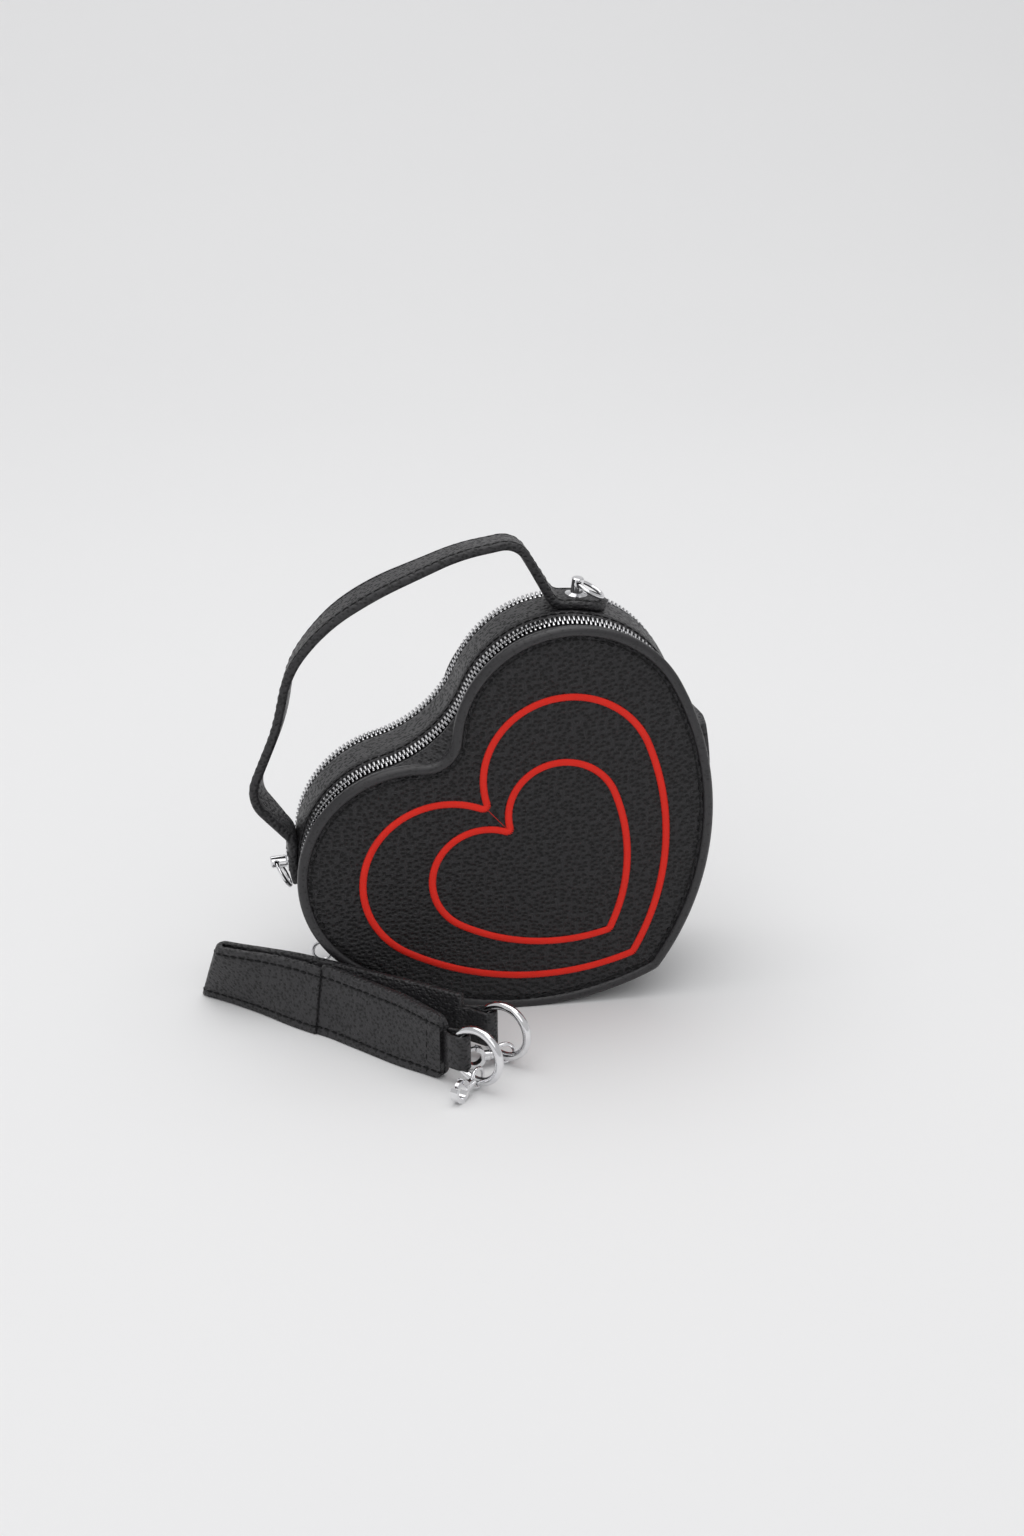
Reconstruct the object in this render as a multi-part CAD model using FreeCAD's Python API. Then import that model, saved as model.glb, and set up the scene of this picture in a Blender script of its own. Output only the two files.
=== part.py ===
import FreeCAD, Part
import math
import os
from FreeCAD import Vector

# Heart shaped zip purse with a top handle and a loose carry strap, in millimetres.
# The bag is drawn upright: X across the heart, Y from front to back, Z up the heart's own axis.
# It is then leaned over onto its lower left side, as it stands on a table.

# Heart outline of the front and back rims
LOBE_U = 46.3
LOBE_V = -9.5
LOBE_R = 53.7
SIDE_R = 134.0
JOIN_DEG = -14.0
NOTCH_R = 12.0
TIP_R = 8.0
LEAN_DEG = 40.87
REST_FLAT = 0.6

# Depth of the bag and its leather
BAG_DEPTH = 75.0
RIM_WIDTH = 4.5
RIM_DEPTH = 5.0
RIM_ROUND = 2.0
RIM_PROUD = 2.5
FACE_SINK = 0.6
PANEL_T = 2.0
BOARD_T = 1.5
LINING_T = 0.8
GUSSET_T = 2.0
GUSSET_NOTCH_R = 55.0
STRIP_TWIST = 6.0
DIVIDER_T = 2.0
GUSSET_END_DEG = -25.5
FOLD_LENGTH = 45.0
FOLD_RISE = 5.5
FOLD_BULGE = 2.4
FOLD_LAP = 4.0

# Zips, one for each compartment
ZIP_SHARE = 0.2667
ZIP_SLOT = 8.8
TAPE_T = 0.8
TOOTH_PITCH = 2.06
TOOTH_ROOT = 1.15
TOOTH_TIP = 0.75
TOOTH_REACH = 2.75
TOOTH_OVERLAP = 0.55
TOOTH_H = 2.6
STOP_LENGTH = 2.4
STOP_GAP = 1.0
SLIDER_DEG = -15.0
SLIDER_LENGTH = 9.0
SLIDER_PLATE = 1.2
SLIDER_GAP = 0.3
SLIDER_FLANGE = 0.7
SLIDER_FLANGE_DROP = 0.6
CROWN_WIDTH = 5.2
CROWN_HEIGHT = 3.9
CROWN_LENGTH = 2.0
CROWN_WALL = 1.1
CROWN_SEAT = 0.4
PULL_REACH = 18.0
PULL_R = 4.5
PULL_EYE_R = 2.3
PULL_WIRE_R = 0.8
PULL_BAR_R = 0.7

# Handle, its posts and their rings
HANDLE_WIDTH = 19.0
HANDLE_T = 4.0
TAB_END_DEG = 25.0
TAB_LEAVE_RIGHT_DEG = 50.0
TAB_LEAVE_LEFT_DEG = 44.0
TAB_ROUND_SHARE = 0.46
BEND_RUN = 6.0
BEND_R = 7.0
SHOULDER_RIGHT = (83.5, 72.5, 13.0)
CREST = (-14.7, 102.0, 45.0)
SLOPE_LEFT = (-52.0, 75.5, 60.0)
SHOULDER_LEFT = (-82.5, 59.0, 13.0)
RIGHT_POST_DEG = 42.0
LEFT_POST_DEG = 37.0
POST_R = 2.75
POST_HEIGHT = 8.0
POST_CHAMFER = 0.5
POST_EYE_HEIGHT = 5.5
POST_EYE_R = 1.7
POST_FLANGE_R = 5.0
POST_FLANGE_T = 1.2
POST_FLANGE_EDGE = 0.4
POST_SEAT = 0.4
POST_RING_R = 6.5
POST_RING_WIRE_R = 0.9
POST_RING_DROP_DEG = 24.0
SCREW_R = 1.5
SCREW_DEPTH = 3.2
SCREW_HOLE_CLEARANCE = 0.15
SCREW_HEAD_R = 3.0
SCREW_HEAD_T = 1.6
WASHER_R = 5.5
WASHER_T = 0.9
WASHER_CLEARANCE = 1.0

# Embroidered hearts on the front panel, as centre lines of the satin stitch
THREAD_WIDTH = 3.3
THREAD_SHIFT_U = -2.5
OUTER_LOBE_U = 36.0
OUTER_LOBE_V = -20.5
OUTER_LOBE_R = 38.0
OUTER_SIDE_SHARE = 0.8955
OUTER_NOTCH_R = 3.0
INNER_LOBE_U = 22.8
INNER_LOBE_V = -31.8
INNER_LOBE_R = 24.5
INNER_SIDE_SHARE = 0.634
INNER_NOTCH_R = 1.8
THREAD_JOIN_DEG = -20.0
THREAD_TIP_R = 2.0

# Carry strap, folded in half and standing on its long edge on the table
STRAP_WIDTH = 30.0
STRAP_T = 3.2
STRAP_FACING_T = 1.0
STRAP_FOLD_GAP = 5.6
STRAP_FOLD_ROUND_SHARE = 0.46
STRAP_BEND_R = 60.0
NEAR_RUN = [(-24.9, -98.3), (-43.0, -76.5), (-69.6, -45.9), (-97.0, -25.5), (-121.6, -7.0)]
FAR_RUN = [(-94.2, -21.7), (-63.5, -44.2), (-40.8, -61.8), (-15.5, -78.0)]
FACING_RUNS = 2
STRAP_TAB_WIDTH = 16.0
STRAP_TAB_T = 4.0
NEAR_LOOP = (-20.4, -103.5)
FAR_LOOP = (-6.0, -82.7)
LOOP_WALL = 1.5
LOOP_CLEARANCE = 0.5
STRAP_RING_R = 12.0
STRAP_RING_WIRE_R = 1.9
STRAP_RING_LIFT = 2.2
NEAR_RING_DEG = -44.0
FAR_RING_DEG = -42.0

# Swivel clasps on the strap's rings
NEAR_CLASP_DEG = 230.0
FAR_CLASP_DEG = 187.0
EYE_R = 4.4
EYE_WIRE_R = 0.9
EYE_COLLAR_R = 2.0
EYE_COLLAR_LENGTH = 2.2
SWIVEL_PIN_R = 1.2
SWIVEL_PIN_SHARE = 0.6
SWIVEL_GAP = 0.3
SWIVEL_FIT = 0.05
HOOK_COLLAR_R = 2.4
HOOK_COLLAR_LENGTH = 2.6
HOOK_R = 4.2
HOOK_BAR = 2.0
HOOK_T = 3.4
HOOK_TIP_DEG = 35.0
HOOK_FORK_DEG = 100.0
TRIGGER_PIVOT_DEG = 112.0
TRIGGER_T = 1.6
TRIGGER_GAP = 0.25
TRIGGER_PIN_R = 0.55
TRIGGER_PIN_FIT = 0.05
TRIGGER_BAR = 1.4
FORK_END_DEG = 128.0

OVERRUN = 20.0
TINY = 1e-6
HALF_TURN = 180.0
QUARTER_TURN = 90.0

HALF_DEPTH = BAG_DEPTH / 2
RIM_BACK = HALF_DEPTH - RIM_DEPTH
ZIP_Y = HALF_DEPTH - BAG_DEPTH * ZIP_SHARE
SLOT_OUTER = ZIP_Y + ZIP_SLOT / 2
SLOT_INNER = ZIP_Y - ZIP_SLOT / 2
GUSSET_IN = RIM_PROUD + GUSSET_T
GUSSET_R = LOBE_R - RIM_PROUD
TAPE_MID = GUSSET_IN + TAPE_T / 2
TAB_TOP_R = GUSSET_R + HANDLE_T
FACE_Y = HALF_DEPTH - FACE_SINK
LEFT_LOBE = (-LOBE_U, LOBE_V)
RIGHT_LOBE = (LOBE_U, LOBE_V)

bag = {}
strap = {}


def polar(centre, radius, degrees):
    angle = math.radians(degrees)
    return (centre[0] + radius * math.cos(angle), centre[1] + radius * math.sin(angle))


def upright(point, y):
    """A point of the heart's plane, at depth y."""
    return Vector(point[0], y, point[1])


def on_table(point, z):
    """A point of the table's plane, at height z."""
    return Vector(point[0], point[1], z)


def arc_edge(centre, radius, start, end, level, plane=upright):
    stops = [polar(centre, radius, a) for a in (start, (start + end) / 2, end)]
    return Part.Arc(*[plane(p, level) for p in stops]).toShape()


def wire_of(edges):
    return Part.Wire(Part.__sortEdges__(edges))


class Heart:
    """A heart of tangent arcs: lobe, side, rounded tip and rounded notch, mirrored about the axis."""

    def __init__(self, lobe, lobe_r, side_r, join, notch_r, tip_r):
        self.lobe = lobe
        self.lobe_r = lobe_r
        self.side_r = side_r
        self.join = join
        self.side = polar(lobe, lobe_r - side_r, join)
        self.notch_r = notch_r
        self.notch = (0, lobe[1] + math.sqrt((lobe_r + notch_r) ** 2 - lobe[0] ** 2))
        self.notch_end = math.degrees(math.atan2(lobe[1] - self.notch[1], lobe[0]))
        self.tip_r = tip_r
        reach = math.sqrt((side_r - tip_r) ** 2 - self.side[0] ** 2)
        self.tip = (0, self.side[1] - reach)
        self.tip_start = math.degrees(math.atan2(-reach, -self.side[0]))

    def side_arc(self, inset, start, end, left):
        if left:
            return ((-self.side[0], self.side[1]), self.side_r - inset, HALF_TURN - start, HALF_TURN - end)
        return (self.side, self.side_r - inset, start, end)

    def upper_arcs(self, inset, end):
        """Arcs from the left end over both lobes to the right end: centre, radius, start and end angle."""
        lobe_r = self.lobe_r - inset
        lobe_top = HALF_TURN + self.notch_end
        return [
            self.side_arc(inset, end, self.join, True),
            ((-self.lobe[0], self.lobe[1]), lobe_r, HALF_TURN - self.join, HALF_TURN - lobe_top),
            (self.notch, self.notch_r + inset, -HALF_TURN - self.notch_end, self.notch_end),
            (self.lobe, lobe_r, lobe_top, self.join),
            self.side_arc(inset, self.join, end, False),
        ]

    def lower_arcs(self, inset, end):
        """Arcs from the right end round the tip to the left end."""
        return [
            self.side_arc(inset, end, self.tip_start, False),
            (self.tip, self.tip_r - inset, self.tip_start, -HALF_TURN - self.tip_start),
            self.side_arc(inset, self.tip_start, end, True),
        ]

    def loop(self, inset, y):
        middle = (self.join + self.tip_start) / 2
        arcs = self.upper_arcs(inset, middle) + self.lower_arcs(inset, middle)
        return Part.Wire([arc_edge(*arc, y) for arc in arcs])

    def plate(self, inset, y_low, y_high):
        return Part.Face(self.loop(inset, y_low)).extrude(Vector(0, y_high - y_low, 0))


RIM = Heart(RIGHT_LOBE, LOBE_R, SIDE_R, JOIN_DEG, NOTCH_R, TIP_R)
GUSSET = Heart(RIGHT_LOBE, LOBE_R, SIDE_R, JOIN_DEG, GUSSET_NOTCH_R - RIM_PROUD, TIP_R)


def strip_wire(arcs_out, arcs_in, y):
    """Closed section of a strip between two runs of arcs that start and end side by side."""
    edges = [arc_edge(*arc, y) for arc in arcs_out + arcs_in]
    for which, angle in ((0, 2), (-1, 3)):
        ends = [polar(arcs[which][0], arcs[which][1], arcs[which][angle]) for arcs in (arcs_out, arcs_in)]
        edges.append(Part.makeLine(*[upright(p, y) for p in ends]))
    return wire_of(edges)


def strip(arcs_out, arcs_in, y_low, y_high):
    return Part.Face(strip_wire(arcs_out, arcs_in, y_low)).extrude(Vector(0, y_high - y_low, 0))


def upper_strip(inset_out, inset_in, y_low, y_high):
    outer = GUSSET.upper_arcs(inset_out, GUSSET_END_DEG)
    inner = GUSSET.upper_arcs(inset_in, GUSSET_END_DEG)
    return strip(outer, inner, y_low, y_high)


def stand_on(shape, point, y, normal_deg):
    """Turns a shape drawn on +Z so that it stands along an outward normal of the heart's plane."""
    placed = shape.copy()
    turn = FreeCAD.Rotation(Vector(0, 1, 0), QUARTER_TURN - normal_deg)
    placed.Placement = FreeCAD.Placement(upright(point, y), turn)
    return placed


def block(length, width, height, lift=0):
    """A box centred on the vertical axis, with its underside at the given lift."""
    return Part.makeBox(length, width, height, Vector(-length / 2, -width / 2, lift))


def mirror_back(shape):
    return shape.mirror(Vector(0, 0, 0), Vector(0, 1, 0))


# Front and back walls: a rolled rim sewn round a leather panel, a board and a lining
rim_ring = RIM.plate(0, -HALF_DEPTH, -RIM_BACK).cut(RIM.plate(RIM_WIDTH, -HALF_DEPTH, -RIM_BACK))
outer_edges = []
for edge in rim_ring.Edges:
    middle = edge.valueAt((edge.FirstParameter + edge.LastParameter) / 2)
    flat = abs(edge.Vertexes[0].Y - edge.Vertexes[-1].Y) < TINY
    inside = RIM.plate(RIM_WIDTH / 2, -HALF_DEPTH, HALF_DEPTH).isInside(middle, TINY, True)
    if flat and not inside:
        outer_edges.append(edge)
rim_ring = rim_ring.makeFillet(RIM_ROUND, outer_edges)
board_y = FACE_Y - PANEL_T
lining_y = board_y - BOARD_T
walls = {
    "rim": rim_ring,
    "panel": RIM.plate(RIM_WIDTH, -FACE_Y, -board_y),
    "board": RIM.plate(RIM_WIDTH, -board_y, -lining_y),
    "lining": RIM.plate(RIM_WIDTH, -lining_y, -lining_y + LINING_T),
}

# Upper gusset: a strip that twists from the rim's sharp notch to the smooth line of the zip
twist_y = RIM_BACK - STRIP_TWIST
sections = [
    strip_wire(heart.upper_arcs(RIM_PROUD, GUSSET_END_DEG), heart.upper_arcs(GUSSET_IN, GUSSET_END_DEG), -y)
    for heart, y in ((RIM, RIM_BACK), (GUSSET, twist_y), (GUSSET, SLOT_OUTER))
]
walls["gusset_strip"] = Part.makeLoft(sections, True, True)
tape_in = GUSSET_IN + TAPE_T
tape_lap = twist_y - SLOT_OUTER
walls["zip_outer_tape"] = upper_strip(GUSSET_IN, tape_in, -twist_y, -ZIP_Y - TOOTH_REACH)
walls["zip_inner_tape"] = upper_strip(GUSSET_IN, tape_in, -ZIP_Y + TOOTH_REACH, -SLOT_INNER + tape_lap)


# Zip teeth: two rows of tapered blocks that interlock along the middle of the tape
chain = GUSSET.upper_arcs(TAPE_MID, GUSSET_END_DEG)


def arc_length(arc):
    return arc[1] * abs(math.radians(arc[3] - arc[2]))


def station(distance):
    """Point and outward normal angle of the zip's line at a distance from its left end."""
    for arc in chain:
        length = arc_length(arc)
        if distance <= length:
            angle = arc[2] + (arc[3] - arc[2]) * distance / length
            hollow = arc[0] == GUSSET.notch
            return polar(arc[0], arc[1], angle), angle + HALF_TURN if hollow else angle
        distance -= length
    return polar(chain[-1][0], chain[-1][1], chain[-1][3]), chain[-1][3]


def tooth(side):
    corners = [
        (-TOOTH_ROOT / 2, -side * TOOTH_REACH),
        (TOOTH_ROOT / 2, -side * TOOTH_REACH),
        (TOOTH_TIP / 2, side * TOOTH_OVERLAP),
        (-TOOTH_TIP / 2, side * TOOTH_OVERLAP),
    ]
    outline = Part.makePolygon([Vector(x, y, -TOOTH_H / 2) for x, y in corners + corners[:1]])
    return Part.Face(outline).extrude(Vector(0, 0, TOOTH_H))


chain_length = sum(arc_length(arc) for arc in chain)
chain_start = FOLD_LAP + STOP_LENGTH + STOP_GAP
tooth_count = int((chain_length - chain_start * 2) / TOOTH_PITCH)
for row, side, offset in (("zip_outer_teeth", 1, 0), ("zip_inner_teeth", -1, TOOTH_PITCH / 2)):
    shape = tooth(side)
    teeth = []
    for number in range(tooth_count):
        point, normal = station(chain_start + TOOTH_PITCH / 2 + number * TOOTH_PITCH + offset)
        teeth.append(stand_on(shape, point, -ZIP_Y, normal))
    walls[row] = Part.makeCompound(teeth)
stop = block(STOP_LENGTH, TOOTH_REACH * 2, TOOTH_H, -TOOTH_H / 2)
stop_at = FOLD_LAP + STOP_LENGTH / 2
stops = []
for distance in (stop_at, chain_length - stop_at):
    point, normal = station(distance)
    stops.append(stand_on(stop, point, -ZIP_Y, normal))
walls["zip_stops"] = Part.makeCompound(stops)

# Zip slider: a curved plate with flanges over the teeth, and a crown that the pull hangs in
slider_deg = HALF_TURN - SLIDER_DEG
tooth_top_r = LOBE_R - TAPE_MID + TOOTH_H / 2
plate_r = tooth_top_r + SLIDER_GAP
plate_top_r = plate_r + SLIDER_PLATE
half_span = math.degrees(SLIDER_LENGTH / 2 / plate_r)
slider_half = TOOTH_REACH + SLIDER_GAP + SLIDER_FLANGE


def slider_part(r_in, r_out, y_low, y_high):
    span = (slider_deg - half_span, slider_deg + half_span)
    return strip([(LEFT_LOBE, r_out, *span)], [(LEFT_LOBE, r_in, *span)], y_low - ZIP_Y, y_high - ZIP_Y)


flange_r = plate_r - SLIDER_GAP - SLIDER_FLANGE_DROP
slider = slider_part(plate_r, plate_top_r, -slider_half, slider_half)
slider = slider.fuse(slider_part(flange_r, plate_r, -slider_half, SLIDER_FLANGE - slider_half))
slider = slider.fuse(slider_part(flange_r, plate_r, slider_half - SLIDER_FLANGE, slider_half))
crown = block(CROWN_LENGTH, CROWN_WIDTH, CROWN_HEIGHT + CROWN_SEAT, -CROWN_SEAT)
crown = crown.cut(block(CROWN_LENGTH, CROWN_WIDTH - CROWN_WALL * 2, CROWN_HEIGHT - CROWN_WALL))
slider = slider.fuse(stand_on(crown, polar(LEFT_LOBE, plate_top_r, slider_deg), -ZIP_Y, slider_deg))
walls["zip_slider"] = slider.removeSplitter()
pull_wire_r = plate_top_r + (CROWN_HEIGHT - CROWN_WALL) / 2
eye_centre, bar_start, bar_end, ring_centre = [
    upright(polar(LEFT_LOBE, pull_wire_r + reach, slider_deg), -ZIP_Y)
    for reach in (PULL_EYE_R, PULL_EYE_R * 2, PULL_REACH - PULL_R, PULL_REACH)
]
run = bar_end - bar_start
pull = Part.makeCylinder(PULL_BAR_R, run.Length, bar_start, run)
for radius, middle in ((PULL_EYE_R, eye_centre), (PULL_R, ring_centre)):
    pull = pull.fuse(Part.makeTorus(radius, PULL_WIRE_R, middle, Vector(0, 1, 0)))
walls["zip_pull"] = pull

for name, shape in walls.items():
    bag["front_" + name] = shape
    bag["back_" + name] = mirror_back(shape)

# Embroidered hearts stand on the front panel, as wide satin stitch
outer_line = ((OUTER_LOBE_U, OUTER_LOBE_V), OUTER_LOBE_R, SIDE_R * OUTER_SIDE_SHARE,
              THREAD_JOIN_DEG, OUTER_NOTCH_R)
inner_line = ((INNER_LOBE_U, INNER_LOBE_V), INNER_LOBE_R, SIDE_R * INNER_SIDE_SHARE,
              THREAD_JOIN_DEG, INNER_NOTCH_R)
for name, line in (("outer_heart_embroidery", outer_line), ("inner_heart_embroidery", inner_line)):
    heart = Heart(*line, THREAD_TIP_R)
    band = heart.plate(-THREAD_WIDTH / 2, -HALF_DEPTH, -FACE_Y)
    band = band.cut(heart.plate(THREAD_WIDTH / 2, -HALF_DEPTH, -FACE_Y))
    bag[name] = band.translated(Vector(THREAD_SHIFT_U, 0, 0))

# Centre strip between the zips, the divider under it, and the lower gusset with its folded ends
centre_strip = upper_strip(RIM_PROUD, GUSSET_IN, -SLOT_INNER, SLOT_INNER)
divider = GUSSET.plate(GUSSET_IN, -DIVIDER_T / 2, DIVIDER_T / 2)
lower = strip(RIM.lower_arcs(RIM_PROUD, GUSSET_END_DEG), RIM.lower_arcs(GUSSET_IN, GUSSET_END_DEG),
              -RIM_BACK, RIM_BACK)
fold_r = SIDE_R - RIM_PROUD
fold_top = GUSSET_END_DEG + math.degrees(FOLD_LAP / fold_r)
fold_low = GUSSET_END_DEG - math.degrees(FOLD_LENGTH / fold_r)
fold_mid = (fold_top + fold_low) / 2
crest = [
    upright(polar(RIM.side, fold_r + rise, a), -RIM_BACK)
    for rise, a in ((FOLD_RISE, fold_top), (FOLD_BULGE, fold_mid), (0, fold_low))
]
fold_edges = [Part.Arc(*crest).toShape(), arc_edge(RIM.side, fold_r, fold_top, fold_low, -RIM_BACK)]
fold_edges.append(Part.makeLine(crest[0], upright(polar(RIM.side, fold_r, fold_top), -RIM_BACK)))
fold = Part.Face(wire_of(fold_edges)).extrude(Vector(0, RIM_BACK * 2, 0))
lower = lower.fuse([fold, fold.mirror(Vector(0, 0, 0), Vector(1, 0, 0))]).removeSplitter()


# Handle: a strap whose ends lie on the lobes, each held by a post with a screw from inside
def rounded_run(points):
    """Straight runs joined by tangent arcs. A point is (a, b, radius), and the ends need no radius."""
    pieces = []
    last = points[0]
    for before, here, after in zip(points, points[1:], points[2:]):
        run_in = Vector(here[0] - before[0], here[1] - before[1], 0).normalize()
        run_out = Vector(after[0] - here[0], after[1] - here[1], 0).normalize()
        turn = run_in.getAngle(run_out)
        side = 1 if run_in.cross(run_out).z > 0 else -1
        setback = here[2] * math.tan(turn / 2)
        start = (here[0] - run_in.x * setback, here[1] - run_in.y * setback)
        centre = (start[0] - side * run_in.y * here[2], start[1] + side * run_in.x * here[2])
        first = math.degrees(math.atan2(start[1] - centre[1], start[0] - centre[0]))
        pieces.append(("line", last, start))
        pieces.append(("arc", centre, here[2], first, first + side * math.degrees(turn), side))
        last = (here[0] + run_out.x * setback, here[1] + run_out.y * setback)
    pieces.append(("line", last, points[-1]))
    return [p for p in pieces if p[0] == "arc" or math.dist(p[1][:2], p[2][:2]) > TINY]


def ribbon(points, left, right, level, plane):
    """Section of a strap along rounded runs, from left to right of them as seen along the way."""
    edges = []
    corners = []
    for reach in (left, -right):
        stops = []
        for piece in rounded_run(points):
            if piece[0] == "line":
                run = Vector(piece[2][0] - piece[1][0], piece[2][1] - piece[1][1], 0).normalize()
                ends = [(p[0] - run.y * reach, p[1] + run.x * reach) for p in piece[1:]]
                edges.append(Part.makeLine(*[plane(p, level) for p in ends]))
            else:
                radius = piece[2] - piece[5] * reach
                ends = [polar(piece[1], radius, a) for a in piece[3:5]]
                edges.append(arc_edge(piece[1], radius, piece[3], piece[4], level, plane))
            stops += ends
        corners.append((stops[0], stops[-1]))
    for ends in zip(*corners):
        edges.append(Part.makeLine(*[plane(p, level) for p in ends]))
    return Part.Face(wire_of(edges))


def tab_points(leave_deg):
    """Handle points from a tab's end over the right lobe to the bend where the handle leaves it."""
    radius = GUSSET_R + HANDLE_T / 2
    half = (leave_deg - TAB_END_DEG) / 2
    corner = polar(RIGHT_LOBE, radius / math.cos(math.radians(half)), TAB_END_DEG + half)
    leave = polar(RIGHT_LOBE, radius, leave_deg)
    bend = polar(leave, BEND_RUN, leave_deg + QUARTER_TURN)
    return [polar(RIGHT_LOBE, radius, TAB_END_DEG), (*corner, radius), (*bend, BEND_R)]


left_tab = [(-p[0], *p[1:]) for p in tab_points(TAB_LEAVE_LEFT_DEG)]
handle_points = tab_points(TAB_LEAVE_RIGHT_DEG) + [SHOULDER_RIGHT, CREST, SLOPE_LEFT, SHOULDER_LEFT]
handle_points += left_tab[::-1]
half_t = HANDLE_T / 2
handle_face = ribbon(handle_points, half_t, half_t, -HANDLE_WIDTH / 2, upright)
handle = handle_face.extrude(Vector(0, HANDLE_WIDTH, 0))
tab_ends = [upright(handle_points[0], 0), upright(handle_points[-1], 0)]
end_edges = []
for edge in handle.Edges:
    away = min((edge.CenterOfMass - end).Length for end in tab_ends)
    if abs(edge.Length - HANDLE_T) < TINY and away < HANDLE_WIDTH:
        end_edges.append(edge)
handle = handle.makeFillet(HANDLE_WIDTH * TAB_ROUND_SHARE, end_edges)

post_outline = [(0, -POST_SEAT), (POST_FLANGE_R, -POST_SEAT), (POST_FLANGE_R, POST_FLANGE_EDGE),
                (POST_R, POST_FLANGE_T), (POST_R, POST_HEIGHT - POST_CHAMFER),
                (POST_R - POST_CHAMFER, POST_HEIGHT), (0, POST_HEIGHT), (0, -POST_SEAT)]
post_face = Part.Face(Part.makePolygon([Vector(r, 0, z) for r, z in post_outline]))
post = post_face.revolve(Vector(0, 0, 0), Vector(0, 0, 1), HALF_TURN * 2)
post_eye = Part.makeCylinder(POST_EYE_R, OVERRUN * 2, Vector(0, -OVERRUN, POST_EYE_HEIGHT), Vector(0, 1, 0))
post = post.cut(post_eye)
strip_in = -HANDLE_T - GUSSET_T
washer_low = strip_in - WASHER_T
down = Vector(0, 0, -1)
screw_length = SCREW_DEPTH - washer_low
screw = Part.makeCylinder(SCREW_R, screw_length, Vector(0, 0, SCREW_DEPTH), down)
screw = screw.fuse(Part.makeCylinder(SCREW_HEAD_R, SCREW_HEAD_T, Vector(0, 0, washer_low), down))
post = post.cut(Part.makeCylinder(SCREW_R, SCREW_DEPTH + POST_SEAT, Vector(0, 0, SCREW_DEPTH), down))
hole = Part.makeCylinder(SCREW_R + SCREW_HOLE_CLEARANCE, OVERRUN * 2, Vector(0, 0, OVERRUN), down)
washer = Part.makeCylinder(WASHER_R, WASHER_T, Vector(0, 0, strip_in), down).cut(hole)
clearing_depth = WASHER_T * 2 + SCREW_HEAD_T + WASHER_CLEARANCE
clearing_top = Vector(0, 0, strip_in + WASHER_T)
clearing = Part.makeCylinder(WASHER_R + WASHER_CLEARANCE, clearing_depth, clearing_top, down)

holes = []
for side, lobe, post_deg, turn in (("right", RIGHT_LOBE, RIGHT_POST_DEG, -1),
                                   ("left", LEFT_LOBE, HALF_TURN - LEFT_POST_DEG, 1)):
    seat = polar(lobe, TAB_TOP_R, post_deg)
    bag[side + "_post"] = stand_on(post, seat, 0, post_deg).cut(handle)
    bag[side + "_post_screw"] = stand_on(screw, seat, 0, post_deg)
    bag[side + "_post_washer"] = stand_on(washer, seat, 0, post_deg).cut(centre_strip)
    divider = divider.cut(stand_on(clearing, seat, 0, post_deg))
    holes.append(stand_on(hole, seat, 0, post_deg))
    eye = polar(lobe, TAB_TOP_R + POST_EYE_HEIGHT, post_deg)
    ring_deg = post_deg + turn * (QUARTER_TURN + POST_RING_DROP_DEG)
    centre = polar(eye, POST_RING_R, ring_deg)
    axis = upright(polar((0, 0), 1, ring_deg + QUARTER_TURN), 0)
    bag[side + "_post_ring"] = Part.makeTorus(POST_RING_R, POST_RING_WIRE_R, upright(centre, 0), axis)

bag["handle"] = handle.cut(holes)
bag["centre_strip"] = centre_strip.cut(holes)
bag["divider"] = divider
bag["lower_gusset"] = lower

# Carry strap: one leather strap folded in half, a facing sewn on its near half, and an end loop each side
fold_in = Vector(NEAR_RUN[-1][0] - NEAR_RUN[-2][0], NEAR_RUN[-1][1] - NEAR_RUN[-2][1], 0).normalize()
fold_far = (NEAR_RUN[-1][0] + fold_in.y * STRAP_FOLD_GAP, NEAR_RUN[-1][1] - fold_in.x * STRAP_FOLD_GAP)
strap_points = [(*p, STRAP_BEND_R) for p in NEAR_RUN[:-1]]
fold_round = STRAP_FOLD_GAP * STRAP_FOLD_ROUND_SHARE
strap_points += [(*NEAR_RUN[-1], fold_round), (*fold_far, fold_round)]
strap_points += [(*p, STRAP_BEND_R) for p in FAR_RUN]
half_strap = STRAP_T / 2
up = Vector(0, 0, STRAP_WIDTH)
body = ribbon(strap_points, half_strap, half_strap, 0, on_table).extrude(up)
facing_points = strap_points[:FACING_RUNS + 1]
facing = ribbon(facing_points, half_strap + STRAP_FACING_T, -half_strap, 0, on_table).extrude(up)
facing = facing.cut(body)
strap["strap_body"] = body
strap["strap_facing"] = facing

ring_height = STRAP_RING_LIFT + STRAP_RING_WIRE_R + STRAP_RING_R
tab_half = STRAP_TAB_WIDTH / 2
slot_half = STRAP_RING_WIRE_R + LOOP_CLEARANCE
slot_far = STRAP_RING_R + STRAP_RING_WIRE_R + LOOP_CLEARANCE - slot_half
slot_near = math.sqrt((STRAP_RING_R - STRAP_RING_WIRE_R) ** 2 - tab_half ** 2) - LOOP_CLEARANCE + slot_half


def capsule(start, end, radius):
    """Upright block with round ends, as tall as an end tab."""
    low = ring_height - tab_half
    solid = ribbon([start, end], radius, radius, low, on_table).extrude(Vector(0, 0, STRAP_TAB_WIDTH))
    ends = [Part.makeCylinder(radius, STRAP_TAB_WIDTH, on_table(p, low)) for p in (start, end)]
    return solid.fuse(ends).removeSplitter()


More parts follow.
